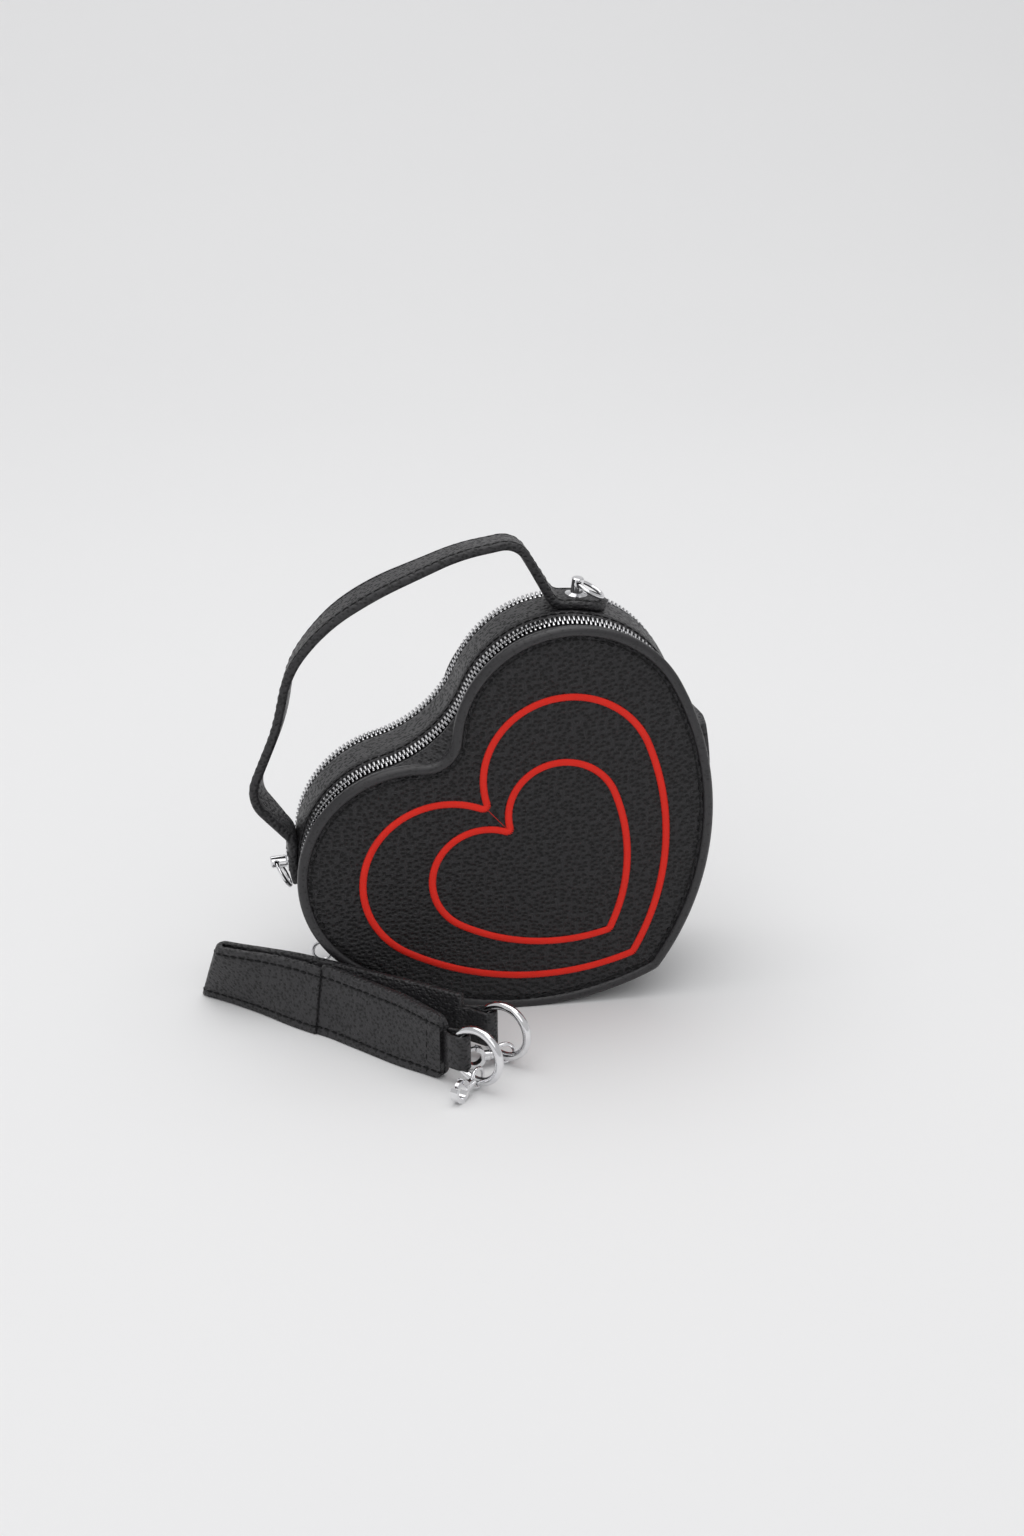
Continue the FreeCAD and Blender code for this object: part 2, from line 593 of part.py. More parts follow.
def clasp_parts():
    """Swivel clasp along +X in the X-Z plane, with the middle of its eye at the origin."""
    along = Vector(1, 0, 0)
    across = Vector(0, 1, 0)
    eye_end = EYE_R + EYE_COLLAR_LENGTH
    eye = Part.makeTorus(EYE_R, EYE_WIRE_R, Vector(0, 0, 0), across)
    eye = eye.fuse(Part.makeCylinder(EYE_COLLAR_R, EYE_COLLAR_LENGTH, along * EYE_R, along))
    pin_length = SWIVEL_GAP + HOOK_COLLAR_LENGTH * SWIVEL_PIN_SHARE
    eye = eye.fuse(Part.makeCylinder(SWIVEL_PIN_R, pin_length, along * eye_end, along))
    hook_start = eye_end + SWIVEL_GAP
    middle = (hook_start + HOOK_COLLAR_LENGTH + HOOK_R, 0)
    outer = HOOK_R + HOOK_BAR / 2
    inner = HOOK_R - HOOK_BAR / 2
    half = HOOK_T / 2
    turns = (HOOK_FORK_DEG, HALF_TURN * 2 + HOOK_TIP_DEG)
    hook = strip([(middle, outer, *turns)], [(middle, inner, *turns)], -half, half)
    collar = Part.makeCylinder(HOOK_COLLAR_R, HOOK_COLLAR_LENGTH, along * hook_start, along)
    bore = Part.makeCylinder(SWIVEL_PIN_R + SWIVEL_FIT, HOOK_COLLAR_LENGTH * SWIVEL_PIN_SHARE + SWIVEL_FIT,
                             along * hook_start, along)
    hook = hook.fuse(collar).cut(bore)
    pivot = polar(middle, HOOK_R, TRIGGER_PIVOT_DEG)
    slot = TRIGGER_T / 2 + TRIGGER_GAP
    fork = (HOOK_TIP_DEG, FORK_END_DEG)
    wide = [(middle, outer + HOOK_BAR, *fork)], [(middle, inner - HOOK_BAR, *fork)]
    hook = hook.cut(strip(*wide, -slot, slot))
    pin_hole = Part.makeCylinder(TRIGGER_PIN_R + TRIGGER_PIN_FIT, HOOK_T, upright(pivot, -half), across)
    hook = hook.cut(pin_hole)
    tip_end = HOOK_TIP_DEG + math.degrees(TRIGGER_GAP / HOOK_R)
    reach = (tip_end, TRIGGER_PIVOT_DEG)
    bar = TRIGGER_BAR / 2
    thick = TRIGGER_T / 2
    sweep = math.dist(polar(middle, inner, HOOK_TIP_DEG), pivot) - TRIGGER_GAP
    trigger = strip([(middle, HOOK_R + bar, *reach)], [(middle, HOOK_R - bar, *reach)], -thick, thick)
    trigger = trigger.common(Part.makeCylinder(sweep, TRIGGER_T, upright(pivot, -thick), across))
    trigger = trigger.fuse(Part.makeCylinder(bar, TRIGGER_T, upright(pivot, -thick), across))
    trigger = trigger.fuse(Part.makeCylinder(TRIGGER_PIN_R, HOOK_T, upright(pivot, -half), across))
    return {"eye": eye, "hook": hook, "trigger": trigger}


for side, start, loop_at, ring_deg, clasp_deg in (
        ("near", NEAR_RUN[0], NEAR_LOOP, NEAR_RING_DEG, NEAR_CLASP_DEG),
        ("far", FAR_RUN[-1], FAR_LOOP, FAR_RING_DEG, FAR_CLASP_DEG)):
    ring_at = polar(loop_at, (slot_near + slot_far) / 2, ring_deg)
    slot_ends = [polar(ring_at, -d, ring_deg) for d in (slot_far, slot_near)]
    low = ring_height - tab_half
    half_tab = STRAP_TAB_T / 2
    tab = ribbon([start, loop_at], half_tab, half_tab, low, on_table).extrude(Vector(0, 0, STRAP_TAB_WIDTH))
    tab = tab.fuse(capsule(*slot_ends, slot_half + LOOP_WALL)).cut(capsule(*slot_ends, slot_half))
    strap[side + "_end_loop"] = tab.cut([body, facing])
    sideways = on_table(polar((0, 0), 1, ring_deg + QUARTER_TURN), 0)
    centre = on_table(ring_at, ring_height)
    strap[side + "_strap_ring"] = Part.makeTorus(STRAP_RING_R, STRAP_RING_WIRE_R, centre, sideways)
    turn = FreeCAD.Rotation(Vector(0, 0, 1), clasp_deg)
    eye_at = on_table(ring_at, EYE_R + EYE_WIRE_R)
    for name, shape in clasp_parts().items():
        placed = shape.copy()
        placed.Placement = FreeCAD.Placement(eye_at, turn)
        strap[side + "_clasp_" + name] = placed

# Lean the bag over onto its lower left side, flatten the rims where they rest, and centre the whole
lean = math.radians(LEAN_DEG)
side_height = -RIM.side[0] * math.sin(lean) + RIM.side[1] * math.cos(lean)
lift = SIDE_R - side_height - REST_FLAT
leaning = FreeCAD.Placement(Vector(0, 0, lift), FreeCAD.Rotation(Vector(0, 1, 0), -LEAN_DEG))
nodes = {}
for name, shape in bag.items():
    nodes[name] = shape.copy()
    nodes[name].Placement = leaning.multiply(shape.Placement)
below = Part.makeBox(SIDE_R * 2, BAG_DEPTH * 2, OVERRUN, Vector(-SIDE_R, -BAG_DEPTH, -OVERRUN))
for name in ("front_rim", "back_rim"):
    nodes[name] = nodes[name].cut(below)
nodes.update(strap)
box = FreeCAD.BoundBox()
for shape in nodes.values():
    box.add(shape.optimalBoundingBox())
to_origin = Vector(-box.Center.x, -box.Center.y, -box.ZMin)
os.makedirs("parts", exist_ok=True)
for name, shape in nodes.items():
    shape.translate(to_origin)
    shape.exportStep("parts/" + name + ".step")
    print(name, len(shape.Solids), shape.isValid(), round(shape.Volume, 1))
print("whole", len(nodes), box)
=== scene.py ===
# %% [markdown]
# # A heart shaped handbag, dressed in leather, thread and metal
# The frame holds every rigid and soft piece of the bag as plain solids, in metres, where each belongs.
# This lesson keeps the metal pieces of that frame, gives them a finish, and makes each leather, thread
# and zip piece again with the roundings, seams and stitches that a real one has.

# %% Load the frame
import math

import bmesh
import bpy
import numpy as np
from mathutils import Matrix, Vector


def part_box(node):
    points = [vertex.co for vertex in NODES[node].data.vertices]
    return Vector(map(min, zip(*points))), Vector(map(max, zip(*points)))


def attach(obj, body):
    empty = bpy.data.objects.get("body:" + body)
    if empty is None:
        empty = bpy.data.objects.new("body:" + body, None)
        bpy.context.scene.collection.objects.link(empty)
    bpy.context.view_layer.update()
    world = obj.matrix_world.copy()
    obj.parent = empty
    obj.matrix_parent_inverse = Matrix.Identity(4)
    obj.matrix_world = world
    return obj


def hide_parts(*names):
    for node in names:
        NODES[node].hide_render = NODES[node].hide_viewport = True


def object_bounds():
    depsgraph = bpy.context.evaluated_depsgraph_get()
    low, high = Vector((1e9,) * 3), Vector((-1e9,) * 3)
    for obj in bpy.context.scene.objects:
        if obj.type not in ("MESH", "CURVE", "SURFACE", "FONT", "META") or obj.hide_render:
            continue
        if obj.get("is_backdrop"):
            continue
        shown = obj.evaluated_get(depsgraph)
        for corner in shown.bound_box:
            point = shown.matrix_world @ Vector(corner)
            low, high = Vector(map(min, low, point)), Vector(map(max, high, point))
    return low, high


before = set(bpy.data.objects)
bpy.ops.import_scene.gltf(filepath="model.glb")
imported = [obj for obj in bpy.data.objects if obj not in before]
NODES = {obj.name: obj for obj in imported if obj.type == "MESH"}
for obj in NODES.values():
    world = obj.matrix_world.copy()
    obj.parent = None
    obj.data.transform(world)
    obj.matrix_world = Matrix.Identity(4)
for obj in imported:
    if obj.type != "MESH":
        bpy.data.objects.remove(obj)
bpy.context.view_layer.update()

# %% [markdown]
# ## The heart's own plane
# The bag is drawn upright and leans on its lower left side. Every leather edge follows the same heart of
# tangent arcs, moved in or out. So one class walks those arcs and gives points with outward normals, and
# one function takes a point of the upright heart to the leaning bag. Sizes are in millimetres here.
# The leather behind the back zip hangs in towards the place that the bag rests on, as a wall with
# nothing in its compartment does, so that function also draws it in a little, more the further back.

# %% Heart outline and its lean
MM = 0.001
LOBE = (46.3, -9.5)
LOBE_R = 53.7
SIDE_R = 134.0
JOIN_DEG = -14.0
NOTCH_R = 12.0
TIP_R = 8.0
LEAN = math.radians(40.87)
REST_FLAT = 0.6
HALF_DEPTH = 37.5
RIM_WIDTH = 4.5
RIM_BACK = 32.5
RIM_PROUD = 2.5
GUSSET_T = 2.0
GUSSET_NOTCH_R = 52.5
GUSSET_END_DEG = -25.5
FACE_Y = 36.9
ZIP_SHARE = 0.2667
ZIP_Y = HALF_DEPTH - HALF_DEPTH * 2 * ZIP_SHARE
ZIP_SLOT = 8.8
SLOT_OUTER = ZIP_Y + ZIP_SLOT / 2
SLOT_INNER = ZIP_Y - ZIP_SLOT / 2
GUSSET_IN = RIM_PROUD + GUSSET_T


def polar(centre, radius, degrees):
    angle = math.radians(degrees)
    return (centre[0] + radius * math.cos(angle), centre[1] + radius * math.sin(angle))


class Heart:
    """A heart of tangent arcs. Each arc is centre, radius, first and last angle, and 1, or -1 if hollow."""

    def __init__(self, lobe, lobe_r, side_r, join, notch_r, tip_r):
        self.lobe, self.lobe_r, self.side_r, self.join = lobe, lobe_r, side_r, join
        self.notch_r, self.tip_r = notch_r, tip_r
        self.side = polar(lobe, lobe_r - side_r, join)
        self.notch = (0, lobe[1] + math.sqrt((lobe_r + notch_r) ** 2 - lobe[0] ** 2))
        self.notch_end = math.degrees(math.atan2(lobe[1] - self.notch[1], lobe[0]))
        reach = math.sqrt((side_r - tip_r) ** 2 - self.side[0] ** 2)
        self.tip = (0, self.side[1] - reach)
        self.tip_start = math.degrees(math.atan2(-reach, -self.side[0]))

    def side_arc(self, start, end, left):
        if left:
            return ((-self.side[0], self.side[1]), self.side_r, 180 - start, 180 - end, 1)
        return (self.side, self.side_r, start, end, 1)

    def upper(self, end):
        top = 180 + self.notch_end
        return [self.side_arc(end, self.join, True),
                ((-self.lobe[0], self.lobe[1]), self.lobe_r, 180 - self.join, 180 - top, 1),
                (self.notch, self.notch_r, -180 - self.notch_end, self.notch_end, -1),
                (self.lobe, self.lobe_r, top, self.join, 1),
                self.side_arc(self.join, end, False)]

    def lower(self, end):
        return [self.side_arc(end, self.tip_start, False),
                (self.tip, self.tip_r, self.tip_start, -180 - self.tip_start, 1),
                self.side_arc(self.tip_start, end, True)]

    def loop(self):
        middle = (self.join + self.tip_start) / 2
        return self.upper(middle) + self.lower(middle)


def arc_counts(arcs, step):
    return [max(3, math.ceil(r * abs(math.radians(b - a)) / step)) for c, r, a, b, way in arcs]


def trace(arcs, counts, closed=False):
    """Points and outward normals along the arcs, as rows of u, v, nu, nv."""
    rows = []
    for (centre, radius, first, last, way), count in zip(arcs, counts):
        for k in range(0 if not rows else 1, count + 1):
            n = polar((0, 0), 1, first + (last - first) * k / count)
            rows.append((centre[0] + radius * n[0], centre[1] + radius * n[1], way * n[0], way * n[1]))
    return np.array(rows[:-1] if closed else rows)


RIM = Heart(LOBE, LOBE_R, SIDE_R, JOIN_DEG, NOTCH_R, TIP_R)
GUSSET = Heart(LOBE, LOBE_R, SIDE_R, JOIN_DEG, GUSSET_NOTCH_R, TIP_R)
COS, SIN = math.cos(LEAN), math.sin(LEAN)
LIFT = SIDE_R + RIM.side[0] * SIN - RIM.side[1] * COS - REST_FLAT
rim_low, rim_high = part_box("front_rim")
side_x = RIM.side[0] * COS - RIM.side[1] * SIN
ORIGIN = Vector((rim_high.x - (side_x + SIDE_R) * MM, rim_low.y + HALF_DEPTH * MM, LIFT * MM))
FOOT_X = -RIM.side[0] * COS - RIM.side[1] * SIN
TUCK = 0.082
TUCK_FROM = ZIP_Y + 1.0
TUCK_TO = HALF_DEPTH - 2.0


def place(u, v, y):
    """A point of the upright heart, in millimetres, as a point of the leaning bag in metres."""
    x, z = COS * u - SIN * v, SIN * u + COS * v + LIFT
    share = TUCK * min(1.0, max(0.0, (y - TUCK_FROM) / (TUCK_TO - TUCK_FROM)))
    return (ORIGIN.x + (x + (FOOT_X - x) * share) * MM, ORIGIN.y + y * MM, z * (1 - share) * MM)


def inset(row, depth):
    return row[0] - row[2] * depth, row[1] - row[3] * depth


print("heart origin", [round(c, 5) for c in ORIGIN])

# %% [markdown]
# ## Shader maths and finishes
# A finish is a small node tree. Writing its maths as Python expressions keeps it readable: `Value` wraps
# a socket, and each operator adds one Math node. `Finish.add` makes any other node: its settings go in
# first, because they can change which sockets it has, and then the values or links of its sockets.


# %% Values and finishes
class Value:
    """A number that a node gives, on which Python's operators add Math nodes."""

    def __init__(self, finish, socket):
        self.finish, self.socket = finish, socket

    def sum(self, operation, first, second):
        return self.finish.add("ShaderNodeMath", {"operation": operation}, {0: first, 1: second})

    def __add__(self, other):
        return self.sum("ADD", self, other)

    def __sub__(self, other):
        return self.sum("SUBTRACT", self, other)

    def __rsub__(self, other):
        return self.sum("SUBTRACT", other, self)

    def __mul__(self, other):
        return self.sum("MULTIPLY", self, other)

    __radd__ = __add__


SOCKETS = {"base_color": "Base Color", "specular_ior_level": "Specular IOR Level"}


class Finish:
    """A material with one Principled shader, and the nodes that feed it."""

    def __init__(self, name, **constants):
        self.material = bpy.data.materials.new(name)
        self.material.use_nodes = True
        self.tree = self.material.node_tree
        self.shader = self.tree.nodes["Principled BSDF"]
        for socket, value in constants.items():
            self.shader.inputs[SOCKETS.get(socket, socket.title())].default_value = value

    def link(self, socket, value):
        if isinstance(value, Value):
            self.tree.links.new(value.socket, socket)
        else:
            socket.default_value = value

    def add(self, kind, settings, values, out=0):
        node = self.tree.nodes.new(kind)
        for name, value in settings.items():
            setattr(node, name, value)
        for name, value in values.items():
            self.link(node.inputs[name], value)
        return Value(self, node.outputs[out])

    def coords(self, stretch=(1, 1, 1), turn=(0, 0, 0)):
        spot = self.add("ShaderNodeTexCoord", {}, {}, "Object")
        return self.add("ShaderNodeMapping", {}, {"Vector": spot, "Scale": stretch, "Rotation": turn})

    def noise(self, where, scale, detail=2.0, rough=0.5):
        return self.add("ShaderNodeTexNoise", {}, {"Vector": where, "Scale": scale, "Detail": detail,
                                                   "Roughness": rough})

    def ramp(self, value, low, high):
        settings = {"interpolation_type": "SMOOTHSTEP"}
        return self.add("ShaderNodeMapRange", settings, {"Value": value, "From Min": low, "From Max": high})

    def colours(self, share, first, second):
        node = self.tree.nodes.new("ShaderNodeMix")
        node.data_type = "RGBA"
        sockets = {s.identifier: s for s in node.inputs}
        for name, value in (("Factor_Float", share), ("A_Color", first), ("B_Color", second)):
            self.link(sockets[name], value)
        return Value(self, {s.identifier: s for s in node.outputs}["Result_Color"])

    def feed(self, **values):
        for name, value in values.items():
            self.link(self.shader.inputs[SOCKETS.get(name, name.title())], value)

    def bump(self, height, distance, strength=1.0):
        values = {"Height": height, "Distance": distance, "Strength": strength}
        return self.add("ShaderNodeBump", {}, values)


print("sockets with names of their own", SOCKETS)

# %% [markdown]
# ## Pebbled leather
# The hide is black and embossed with small pebbles. A photograph of grain could give them, but Voronoi
# cells, pushed about by a noise, need no picture and have no repeat: each cell's middle is a dent and its
# edge a faint crease, both duller than the tops and painted darker, as painted shade. A flat pattern suits
# the panels, since a slice through solid cells looks sparse. The trim has finer grain, and the rims are
# nearly smooth.

# %% Leather
LEATHER_TOP = (0.0205, 0.0192, 0.0218)
# The crease colour is painted shade: the grain's dents and creases are coloured darker, where shade falls.
LEATHER_CREASE_SHADE = (0.0010, 0.0009, 0.0011, 1)
GRAIN_STRETCH = (0.82, 1.0, 1.08)
FLAT_TURN, DEEP_TURN = (math.pi / 2, 0, 0), (0.1, 0.5, 0.2)
GRAIN_PUSH = 0.55
CREASE = (-0.25, 0.12)
PORES_PER_CELL = 5.5
BROAD_SCALE = 38.0
CREASE_DULL = 0.3


def leather_finish(name, tone, gloss, cells, depth, dull, flat, pit):
    """Grain in all three directions, or flat for a panel, whose face is the turned pattern's plane."""
    finish = Finish(name, specular_ior_level=gloss)
    spot = finish.coords(GRAIN_STRETCH, FLAT_TURN if flat else DEEP_TURN)
    grain = {"voronoi_dimensions": "2D" if flat else "3D"}
    push = finish.add("ShaderNodeTexNoise", {}, {"Vector": spot, "Scale": cells * 0.7, "Detail": 2.0},
                      "Color")
    reach = GRAIN_PUSH / cells
    scaled = finish.add("ShaderNodeVectorMath", {"operation": "SCALE"}, {0: push, "Scale": reach})
    moved = finish.add("ShaderNodeVectorMath", {"operation": "ADD"}, {0: spot, 1: scaled})
    values = {"Vector": moved, "Scale": cells, "Randomness": 0.85}
    edge = finish.add("ShaderNodeTexVoronoi", {**grain, "feature": "DISTANCE_TO_EDGE"}, values)
    dent = finish.add("ShaderNodeTexVoronoi", {**grain, "feature": "F1"}, values, "Distance")
    pebble = finish.ramp(edge, *CREASE) * finish.ramp(dent, *pit)
    pores = finish.noise(spot, cells * PORES_PER_CELL, 3.0, 0.6)
    broad = finish.noise(spot, BROAD_SCALE, 2.0)
    top = (*(c * tone for c in LEATHER_TOP), 1)
    # The pebble mask paints shade into the dents and creases, and the broad noise varies the tone at random.
    finish.feed(base_color=finish.colours(pebble * 0.75 + broad * 0.25, LEATHER_CREASE_SHADE, top),
                roughness=dull + CREASE_DULL - pebble * CREASE_DULL + (broad - 0.5) * 0.1,
                normal=finish.bump(pebble + pores * 0.08, depth))
    return finish.material


LEATHER = leather_finish("black_pebbled_leather", 0.8, 0.4, 450.0, 0.0007, 0.38, True, (0.1, 0.54))
TRIM_LEATHER = leather_finish("black_trim_leather", 1.0, 0.58, 600.0, 0.0003, 0.36, False, (0.2, 0.6))
RIM_LEATHER = leather_finish("black_rim_leather", 0.9, 0.6, 600.0, 0.0001, 0.34, False, (0.0, 0.5))
print("leathers", [m.name for m in (LEATHER, TRIM_LEATHER, RIM_LEATHER)])

# %% [markdown]
# ## Cloth, thread and metal
# Tape and lining are woven, so two crossed waves make their threads. Satin thread has fine strands, which
# a dense noise gives, and nickel has hardly any marks. The zip's teeth have painted shade on their lower
# sides and between them, and stay bright on their crowns, so their finish reads which points of a tooth lie
# on its crown.


# %% Lining, tape, thread and metal
def cloth_finish(name, dark, light, threads, dull):
    finish = Finish(name)
    values = {"Vector": finish.coords(), "Scale": threads, "Distortion": 0.6}
    weave, cross = (finish.add("ShaderNodeTexWave", {"wave_type": "BANDS", "bands_direction": way}, values, 1)
                    for way in ("DIAGONAL", "Y"))
    cover = weave * 0.6 + cross * 0.4
    finish.feed(base_color=finish.colours(cover, dark, light), roughness=dull - cover * 0.08,
                normal=finish.bump(cover, 0.0002, 0.7))
    return finish.material


def thread_finish(name, dark, light, dull, strands):
    finish = Finish(name, specular_ior_level=0.25)
    spot = finish.coords()
    strand = finish.noise(spot, strands, 2.0, 0.6)
    broad = finish.noise(spot, 90.0, 1.0)
    finish.feed(base_color=finish.colours(strand * 0.6 + broad * 0.4, dark, light),
                roughness=dull + (strand - 0.5) * 0.16, normal=finish.bump(strand, 0.00008, 0.5))
    return finish.material


def shaded_zip_finish(name, dark, bright, dull):
    """Metal with painted shade on the lower sides of the teeth and between them, bright on their crowns."""
    finish = Finish(name, metallic=1.0)
    # The crown mask leaves the crowns bright and paints shade on the rest of each tooth.
    crown = finish.add("ShaderNodeAttribute", {"attribute_name": "crown"}, {}, "Fac")
    fine = finish.noise(finish.coords(), 900.0, 2.0)
    finish.feed(base_color=finish.colours(crown, dark, bright), roughness=dull - crown * 0.18 + fine * 0.06)
    return finish.material


def metal_finish(name, colour, smudge, dull):
    finish = Finish(name, metallic=1.0)
    spot = finish.coords()
    cloud = finish.noise(spot, 160.0, 3.0, 0.6)
    fine = finish.noise(finish.coords(stretch=(1.0, 6.0, 1.0)), 900.0, 2.0)
    finish.feed(base_color=finish.colours(finish.ramp(cloud, 0.35, 0.75), colour, smudge),
                roughness=dull + cloud * 0.06 + fine * 0.03, normal=finish.bump(fine, 0.00001, 0.25))
    return finish.material


LINING = cloth_finish("woven_lining", (0.012, 0.012, 0.014, 1), (0.03, 0.03, 0.034, 1), 900.0, 0.8)
TAPE = cloth_finish("zip_tape_weave", (0.006, 0.006, 0.007, 1), (0.018, 0.018, 0.02, 1), 1100.0, 0.75)
RED_THREAD = thread_finish("red_satin_thread", (0.60, 0.012, 0.006, 1), (0.90, 0.030, 0.014, 1), 0.45,
                           2600.0)
BLACK_THREAD = thread_finish("black_sewing_thread", (0.002, 0.002, 0.002, 1), (0.007, 0.007, 0.008, 1), 0.5,
                             3000.0)
NICKEL = metal_finish("bright_nickel", (0.83, 0.83, 0.84, 1), (0.72, 0.72, 0.74, 1), 0.07)
# Its dark colour is painted shade below the teeth's crowns; the bright colour is the crowns' nickel.
ZIP_METAL = shaded_zip_finish("zip_nickel", (0.13, 0.13, 0.14, 1), (0.80, 0.80, 0.81, 1), 0.34)
print("finishes", [m.name for m in bpy.data.materials if m.use_nodes])

# %% [markdown]
# ## Making swept pieces
# Rims, strips, handle and strap are all one section carried along a line. `swept` joins rings of points
# into quads, closes the line or caps its ends, and makes the faces point outwards. `section` is a flat
# strip's outline with rounded edges and, where a seam runs, a shallow furrow that the stitches lie in.

# %% Swept meshes and strip sections
FURROW_DEPTH = 0.36
FURROW_HALF = 0.9
FURROW_STOPS = (-0.9, -0.4, 0.0, 0.4, 0.9)
WELD = 1e-7


def linked(name, data):
    obj = bpy.data.objects.new(name, data)
    bpy.context.scene.collection.objects.link(obj)
    return obj


def solid_mesh(name, verts, faces, weld=0.0):
    """A mesh whose faces point outwards, with points closer than weld made one."""
    mesh = bpy.data.meshes.new(name)
    mesh.from_pydata(verts, [], faces)
    shape = bmesh.new()
    shape.from_mesh(mesh)
    if weld:
        bmesh.ops.remove_doubles(shape, verts=shape.verts, dist=weld)
    bmesh.ops.recalc_face_normals(shape, faces=shape.faces)
    shape.to_mesh(mesh)
    shape.free()
    return mesh


def piece_from(name, verts, faces, finish, node_names, body="bag", slot="black_leather"):
    return finished(name, solid_mesh(name, verts, faces, WELD), finish, node_names, body)


def finished(name, mesh, finish, node_names, body):
    mesh.polygons.foreach_set("use_smooth", [True] * len(mesh.polygons))
    mesh.materials.clear()
    mesh.materials.append(finish)
    obj = linked(name, mesh)
    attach(obj, body)
    if node_names:
        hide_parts(*node_names)
    print(name, len(mesh.polygons), "faces")
    return obj


def swept(rings, closed=False):
    """Vertices and faces that join equal rings of points; an open run gets a cap at each end."""
    size = len(rings[0])
    verts = [p for ring in rings for p in ring]
    faces = []
    for r in range(len(rings) if closed else len(rings) - 1):
        a, b = r * size, (r + 1) % len(rings) * size
        faces += [(a + k, a + (k + 1) % size, b + (k + 1) % size, b + k) for k in range(size)]
    if not closed:
        faces += [tuple(range(size)), tuple(range((len(rings) - 1) * size, len(rings) * size))]
    return verts, faces


def section(low, high, bottom, top, round_r, furrows=(), puff=0.0, steps=4, spread=10):
    """Outline of a strip as rows of across and up: rounded edges, furrows for seams, a puffed top."""
    centre, half = (low + high) / 2, (high - low) / 2

    def corner(across, up, first):
        turns = [math.radians(first + 90 * k / steps) for k in range(steps + 1)]
        return [(across + round_r * math.cos(a), up + round_r * math.sin(a)) for a in turns]

    rows = corner(high - round_r, bottom + round_r, -90) + corner(high - round_r, top - round_r, 0)
    flat = list(np.linspace(high - round_r, low + round_r, spread)[1:-1])
    for seam in furrows:
        flat += [seam + d for d in FURROW_STOPS]
    for across in sorted(flat, reverse=True):
        dip = sum(FURROW_DEPTH * max(0.0, 1 - ((across - seam) / FURROW_HALF) ** 2) for seam in furrows)
        rows.append((across, top + puff * (1 - ((across - centre) / half) ** 2) - dip))
    return rows + corner(low + round_r, top - round_r, 90) + corner(low + round_r, bottom + round_r, 180)


print("a plain strip's section has", len(section(0, 10, 0, 2, 0.8)), "points")

# %% [markdown]
# ## Rims and panels
# Each face of the bag has a rolled rim, sewn round a flat leather panel with a board and a lining behind.
# A bevelled box would do for the rim, but a roll is rounder on the face than at the gusset, so a drawn
# section is carried round the heart. The panel is rings of the same heart drawn in towards one point,
# which the whole outline can be seen from, with a little crown and a dip where the rim's seam pulls.

# %% Rims and panels
SIDES = (("front", -1), ("back", 1))
WALK = 2.0
LOOP = trace(RIM.loop(), arc_counts(RIM.loop(), WALK), True)
BACK_ROUND, FACE_ROUND, ROUND_STEPS = 2.1, 2.3, 7
RIM_LIP = ((3.1, 0.05), (3.8, 0.25), (4.3, 0.7))
RIM_FOOT = (4.75, 0.9)
PANEL_T, BOARD_T, LINING_T = 2.0, 1.5, 0.8
PANEL_CENTRE = np.array((0.0, -38.0))
PANEL_CROWN = 0.45
PANEL_DIP = 0.7
DIP_FROM = 0.955
PANEL_LAP = 0.3
PANEL_RINGS = (1.0, 0.993, 0.985, 0.975, 0.962, 0.945, 0.92, 0.88, 0.8, 0.68, 0.54, 0.4, 0.26, 0.12)


def rim_profile():
    """Rows of inset and depth, from the inner back corner over the outside to the seam."""
    rows = [(RIM_WIDTH, RIM_BACK)]
    for r, centre_y, first in ((BACK_ROUND, RIM_BACK + BACK_ROUND, 270),
                               (FACE_ROUND, HALF_DEPTH - FACE_ROUND, 180)):
        for k in range(ROUND_STEPS + 1):
            a = math.radians(first - 90 * k / ROUND_STEPS)
            rows.append((r + r * math.cos(a), centre_y + r * math.sin(a)))
    rows += [(depth, HALF_DEPTH - drop) for depth, drop in RIM_LIP]
    return rows + [(RIM_FOOT[0], FACE_Y - RIM_FOOT[1])]


def panel_share(points):
    """How far out of the panel each point is: 0 in the middle and 1 at the rim."""
    edge = np.array([inset(row, RIM_WIDTH) for row in LOOP]) - PANEL_CENTRE
    turns, reach = np.arctan2(edge[:, 1], edge[:, 0]), np.hypot(edge[:, 0], edge[:, 1])
    order = np.argsort(turns)
    away = np.asarray(points) - PANEL_CENTRE
    at = np.interp(np.arctan2(away[:, 1], away[:, 0]), turns[order], reach[order], period=math.tau)
    return np.hypot(away[:, 0], away[:, 1]) / at


def panel_height(points):
    """Depth of the panel's face from the middle of the bag."""
    share = np.clip(panel_share(points), 0, 1)
    dip = np.clip((share - DIP_FROM) / (1 - DIP_FROM), 0, 1)
    return FACE_Y + PANEL_CROWN * (1 - share ** 4) - PANEL_DIP * dip ** 2


